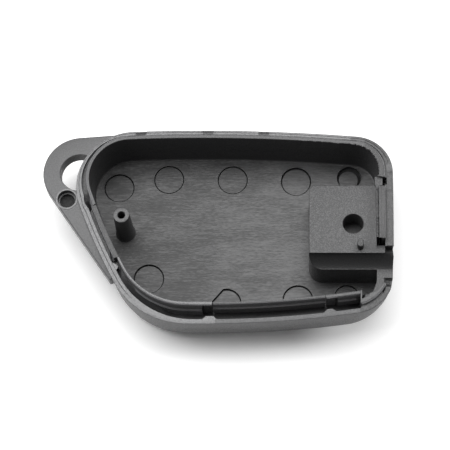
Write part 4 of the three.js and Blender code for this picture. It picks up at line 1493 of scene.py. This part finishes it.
class SHELL_OT_seat(bpy.types.Operator):
    """Models the blade seat: pad, ear, hollow step and blind hole, and the nub on the pad"""

    bl_idname = "shell.seat"
    bl_label = "Blade seat"

    PAD_RIGHT = 29.38 * MM
    WALL_REACH = 30.9 * MM
    ROOT = 0.1 * MM
    CORNER_STEPS = 12

    # Spilt plastic between the pad and the bar: its sides, top, ends and unevenness
    FLASH_LEFT = 29.2 * MM
    FLASH_RIGHT = 29.84 * MM
    FLASH_PAST = 30.6 * MM
    FLASH_TOP = 10.76 * MM
    FLASH_STEP = 0.18 * MM
    FLASH_FROM = 0.4 * MM
    FLASH_TO = 1.9 * MM
    FLASH_BAR_GAP = 0.1 * MM
    FLASH_RAGGED = 0.2 * MM
    FLASH_LUMP = 0.16 * MM
    FLASH_FALL = 0.1 * MM

    # Level ground between the slot and the corner lip, as x and y
    PLATEAU = (
        (29.42, -10.0),
        (29.32, -10.7),
        (29.12, -11.3),
        (28.85, -11.95),
        (28.6, -12.5),
        (28.3, -13.0),
        (28.0, -13.7),
        (28.4, -14.6),
        (32.4, -14.6),
    )
    PLATEAU_INSET = 0.35 * MM

    # Strip of the pad over the wall
    EAR_FLAT = 0.5 * MM
    EAR_ROUNDING = 1.4 * MM
    EAR_TURN = math.radians(52)
    EAR_STEPS = 8
    EAR_LOW = SHELF + 0.3 * MM
    EAR_GAP = 0.01 * MM
    EAR_ROOT = 0.3 * MM

    # Hole and nub, in millimetres past a radius and a height
    HOLE_STEPS = 64
    HOLE_MOUTH = ((0, -0.1), (0.1, 0), (0.1, 1))
    NUB_AHEAD = 0.4 * MM
    NUB_LENGTH = 1.72 * MM
    NUB_STEPS = 32
    NUB_FOOT = ((0, -0.1),)
    NUB_CROWN = ((-0.02, -0.25), (-0.1, -0.07), (-0.26, 0))

    # Upward parts of a normal, heights and edges that tell walls, pad and step apart
    TOP_UP = 0.3
    EDGE_UP = 0.9
    WALL_HIGHEST = LEDGE - 3 * MM
    PAD_LOWEST = SEAT_HIGH.z - 0.1 * MM
    EDGE_LEFT = SEAT_LOW.x + MM
    EDGE_BACK = SEAT_HIGH.y - 0.3 * MM

    def execute(self, context):
        scene = context.scene
        seat, rim = scene.shell_seat, Rim(scene)
        left, back, top = SEAT_LOW.x, SEAT_HIGH.y, SEAT_HIGH.z
        front = rim.pad_front - seat.step_width
        points = [Vector((self.PAD_RIGHT, front)), Vector((self.PAD_RIGHT, back))]
        points += self.corner(left + seat.corner, back - seat.corner, seat.corner, math.pi / 2)
        points += self.corner(left + seat.step_width, front + seat.step_width, seat.step_width, math.pi)
        piece = prism("blade_seat", points, FLOOR - self.ROOT, top)
        round_edges(piece, seat.rounding, SEAT_EDGE)
        step = box_tool((self.PAD_RIGHT - MM, front, FLOOR), (self.WALL_REACH, rim.pad_front, top))
        combine(piece, step, "UNION")
        combine(piece, self.ear(rim, top), "UNION")
        combine(piece, self.plateau(rim), "UNION")
        combine(piece, self.hollow(rim, left), "DIFFERENCE")
        combine(piece, dip_tool(rim), "DIFFERENCE")
        combine(piece, self.flash(), "UNION")
        self.cut_hole(piece, seat, left, back, top)
        finishes = Finishes.get(scene)
        paint(piece, [finishes.wall, finishes.pad, finishes.dull, finishes.step], self.pick)
        finish_piece(piece, "case", "pad_plastic", "blade_seat")
        self.add_nub(finishes)
        return {"FINISHED"}

    def flash(self):
        """Ragged strip of spilt plastic between the pad and the bar, running on past the pad."""
        start, end = BAR_LOW.y + self.FLASH_FROM, BAR_HIGH.y + self.FLASH_TO
        count = round((end - start) / self.FLASH_STEP)
        left = self.FLASH_LEFT
        rings = []
        for index in range(count + 1):
            y = start + (end - start) * index / count
            ragged = noise.noise(Vector((index * 0.43, 0.4, 2.1)))
            lump = noise.noise(Vector((index * 0.29, 5.2, 0.7)))
            right = self.FLASH_RIGHT - self.FLASH_RAGGED * max(0, ragged)
            if y > BAR_HIGH.y + self.FLASH_BAR_GAP:
                right = self.FLASH_PAST
            top = self.FLASH_TOP + self.FLASH_LUMP * min(0.4, lump)
            section = ((left, SHELF), (right, SHELF), (right, top - self.FLASH_FALL), (left, top))
            rings.append([Vector((x, y, z)) for x, z in section])
        return loft("flash", rings)

    def pick(self, middle, normal):
        wall, pad, dull, step = range(4)
        if middle.z < self.WALL_HIGHEST or normal.z < self.TOP_UP:
            return wall
        # Painted shade: the hollow's slopes and the pad's rounded left and back edges get the near-black
        # step colour
        if normal.z < LEVEL_UP and DIP_BACK < middle.y < PAD_FRONT:
            return step
        if normal.z < self.EDGE_UP and (middle.x < self.EDGE_LEFT or middle.y > self.EDGE_BACK):
            return step
        return pad if middle.z > self.PAD_LOWEST else dull

    def ear(self, rim, top):
        """Strip of the pad that runs over the wall, well rounded along its back edge."""
        radius, front = self.EAR_ROUNDING, rim.pad_front - self.EAR_GAP
        arc = []
        for step in range(self.EAR_STEPS + 1):
            turn = self.EAR_TURN * step / self.EAR_STEPS
            y = rim.pad_front + self.EAR_FLAT + radius * math.sin(turn)
            arc.append((y, top - radius * (1 - math.cos(turn))))
        profile = [(front, self.EAR_LOW), (front, top), *arc, (arc[-1][0], self.EAR_LOW)]
        return bar_tool(profile, self.PAD_RIGHT - self.EAR_ROOT, SEAT_HIGH.x)

    def plateau(self, rim):
        """Level ground between the slot and the corner lip."""
        points = [spot(x, y) for x, y in self.PLATEAU]
        points += [Vector((points[-1].x, rim.pad_front)), Vector((points[0].x, rim.pad_front))]
        block = prism("plateau", points, FLOOR, SEAT_HIGH.z)
        line = rim.outline.edge([self.PLATEAU_INSET] * 4)
        combine(block, prism("bound", line.points(whole_round()), SHELF, LEDGE + MM), "INTERSECT")
        return block

    def corner(self, x, y, radius, start):
        """Quarter of a round corner."""
        return [point_on(Vector((x, y)), radius, start + turn) for turn in quarter(self.CORNER_STEPS)]

    def hollow(self, rim, left):
        """Tool that hollows the step in front of the pad and levels the ground beyond it."""
        above = SEAT_HIGH.z + 2 * MM
        far = rim.slot_front - 6 * MM
        profile = [(rim.pad_front, above), *rim.hollow, (far, rim.hollow[-1][1]), (far, above)]
        return bar_tool(profile, left - MM, rim.outline.right + MM)

    def cut_hole(self, piece, seat, left, back, top):
        radius = seat.hole_radius
        profile = [(radius, top - seat.hole_depth), *past(radius, top, self.HOLE_MOUTH)]
        x, y = left + seat.hole_from_left, back - seat.hole_from_back
        combine(piece, turned("hole", x, y, profile, self.HOLE_STEPS), "DIFFERENCE")

    def add_nub(self, finishes):
        """Oblong nub with a rounded top."""
        middle = (NUB_LOW + NUB_HIGH) / 2 - Vector((0, self.NUB_AHEAD, 0))
        radius = (NUB_HIGH.x - NUB_LOW.x) / 2
        half = self.NUB_LENGTH / 2 - radius
        rings = []
        for reach, z in past(radius, NUB_LOW.z, self.NUB_FOOT) + past(radius, NUB_HIGH.z, self.NUB_CROWN):
            ring = round_ring(middle.x, middle.y, reach, z, self.NUB_STEPS)
            rings.append([point + Vector((0, half if point.y > middle.y else -half, 0)) for point in ring])
        nub = loft("blade_nub", rings)
        # Painted shade: the nub's sides get the near-black step colour
        paint(nub, [finishes.step, finishes.pad], lambda middle, normal: int(normal.z > self.TOP_UP))
        finish_piece(nub, "case", "pad_plastic", "blade_nub")


class SHELL_OT_stage(bpy.types.Operator):
    """Adds the camera, the white table and the lights"""

    bl_idname = "shell.stage"
    bl_label = "Stage"

    def execute(self, context):
        stage = context.scene.shell_stage
        add_camera(stage)
        add_table(stage)
        add_lights(stage)
        context.scene.view_settings.view_transform = "Standard"
        return {"FINISHED"}


def add_camera(stage):
    """Camera at the photographed angle, rolled so that the shell's long axis is level."""
    cos_up, sin_up = math.cos(stage.elevation), math.sin(stage.elevation)
    cos_round, sin_round = math.cos(stage.azimuth), math.sin(stage.azimuth)
    back = Vector((sin_round * cos_up, -cos_round * cos_up, sin_up))
    level = Vector((cos_round, sin_round, 0))
    upright = back.cross(level)
    roll = math.atan2(upright.x, level.x)
    right = level * math.cos(roll) + upright * math.sin(roll)
    up = upright * math.cos(roll) - level * math.sin(roll)
    middle = stage.frame_pixels / 2
    aside = (stage.aim_pixel[0] - middle) / stage.focal_pixels
    below = (stage.aim_pixel[1] - middle) / stage.focal_pixels
    eye = Vector(stage.aim) + (back - right * aside + up * below) * stage.distance
    bpy.ops.object.camera_add()
    camera = bpy.context.object
    camera.name = "camera"
    camera.matrix_world = Matrix.Translation(eye) @ Matrix((right, up, back)).transposed().to_4x4()
    camera.data.lens = camera.data.sensor_width * stage.focal_pixels / stage.frame_pixels
    camera.data.clip_start, camera.data.clip_end = stage.clip
    bpy.context.scene.camera = camera


def grey(level):
    return (level, level, level, 1)


SEEN_RAYS = ("Camera", "Glossy", "Transmission")
TABLE_STEPS = 96


def add_table(stage):
    """Table that keeps the shell's shadow, with painted light that lightens it at the blade end, and fades
    to white away from it.
    """
    bpy.ops.mesh.primitive_circle_add(vertices=TABLE_STEPS, radius=stage.table_radius, fill_type="NGON")
    table = bpy.context.object
    table.name = "table"
    material = bpy.data.materials.new("white_table")
    tree = Tree(material)
    reach = tree.node("ShaderNodeVectorMath", {"operation": "LENGTH"}, {0: tree.place()}, "Value")
    along_x = tree.node("ShaderNodeSeparateXYZ", None, {0: tree.place()}, "X")
    rays = [tree.node("ShaderNodeLightPath", output=f"Is {kind} Ray") for kind in SEEN_RAYS]
    shown = rays[0] + rays[1] + rays[2]
    tint = tree.mix(shown, grey(stage.table_level), grey(stage.table_gain))
    dull = tree.node("ShaderNodeBsdfDiffuse", None, {"Color": tint})
    glow = tree.node("ShaderNodeEmission", None, {"Color": grey(1), "Strength": 1})
    fade = tree.smooth(reach, stage.white_from, stage.white_to)
    # Painted light: white glow mixed into the shadow at the blade end
    fill = tree.smooth(along_x, stage.fill_from, stage.fill_to) * stage.shadow_fill
    white = (fade + fill - fade * fill) * shown
    mixed = tree.node("ShaderNodeMixShader", None, {0: white, 1: dull, 2: glow})
    tree.node("ShaderNodeOutputMaterial", None, {"Surface": mixed})
    table.data.materials.append(material)


def add_lights(stage):
    """Softbox above and behind the shell, in a dim room."""
    bpy.ops.object.light_add(type="AREA", location=stage.softbox_place)
    softbox = bpy.context.object
    softbox.name = "softbox"
    softbox.rotation_euler = (-Vector(stage.softbox_place)).to_track_quat("-Z", "Y").to_euler()
    softbox.data.shape = "RECTANGLE"
    softbox.data.size, softbox.data.size_y = stage.softbox_size
    softbox.data.energy = stage.softbox_power
    world = bpy.data.worlds.new("room")
    bpy.context.scene.world = world
    tree = Tree(world)
    seen = tree.node("ShaderNodeLightPath", output="Is Camera Ray")
    sky_colour = tree.mix(seen, grey(stage.ambient), grey(1))
    sky = tree.node("ShaderNodeBackground", None, {"Color": sky_colour, "Strength": 1})
    tree.node("ShaderNodeOutputWorld", None, {"Surface": sky})


OPERATORS = (
    SHELL_OT_stage,
    SHELL_OT_rear_case,
    SHELL_OT_lips,
    SHELL_OT_tongues,
    SHELL_OT_lug,
    SHELL_OT_post,
    SHELL_OT_seat,
)


class SHELL_PT_panel(bpy.types.Panel):
    """Lists the shell's pieces"""

    bl_idname = "SHELL_PT_panel"
    bl_label = "Key Fob Shell"
    bl_space_type = "VIEW_3D"
    bl_region_type = "UI"
    bl_category = "Key Fob"

    def draw(self, context):
        for operator in OPERATORS:
            self.layout.operator(operator.bl_idname)


CLASSES = (*SETTINGS.values(), *OPERATORS, SHELL_PT_panel)


def register():
    for cls in CLASSES:
        bpy.utils.register_class(cls)
    for name, settings in SETTINGS.items():
        setattr(bpy.types.Scene, name, PointerProperty(type=settings))


def unregister():
    for name in SETTINGS:
        delattr(bpy.types.Scene, name)
    for cls in reversed(CLASSES):
        bpy.utils.unregister_class(cls)


def main():
    register()
    bpy.ops.shell.stage()
    bpy.ops.shell.rear_case()
    bpy.ops.shell.lips()
    bpy.ops.shell.tongues()
    bpy.ops.shell.lug()
    bpy.ops.shell.post()
    bpy.ops.shell.seat()


if __name__ == "__main__":
    main()
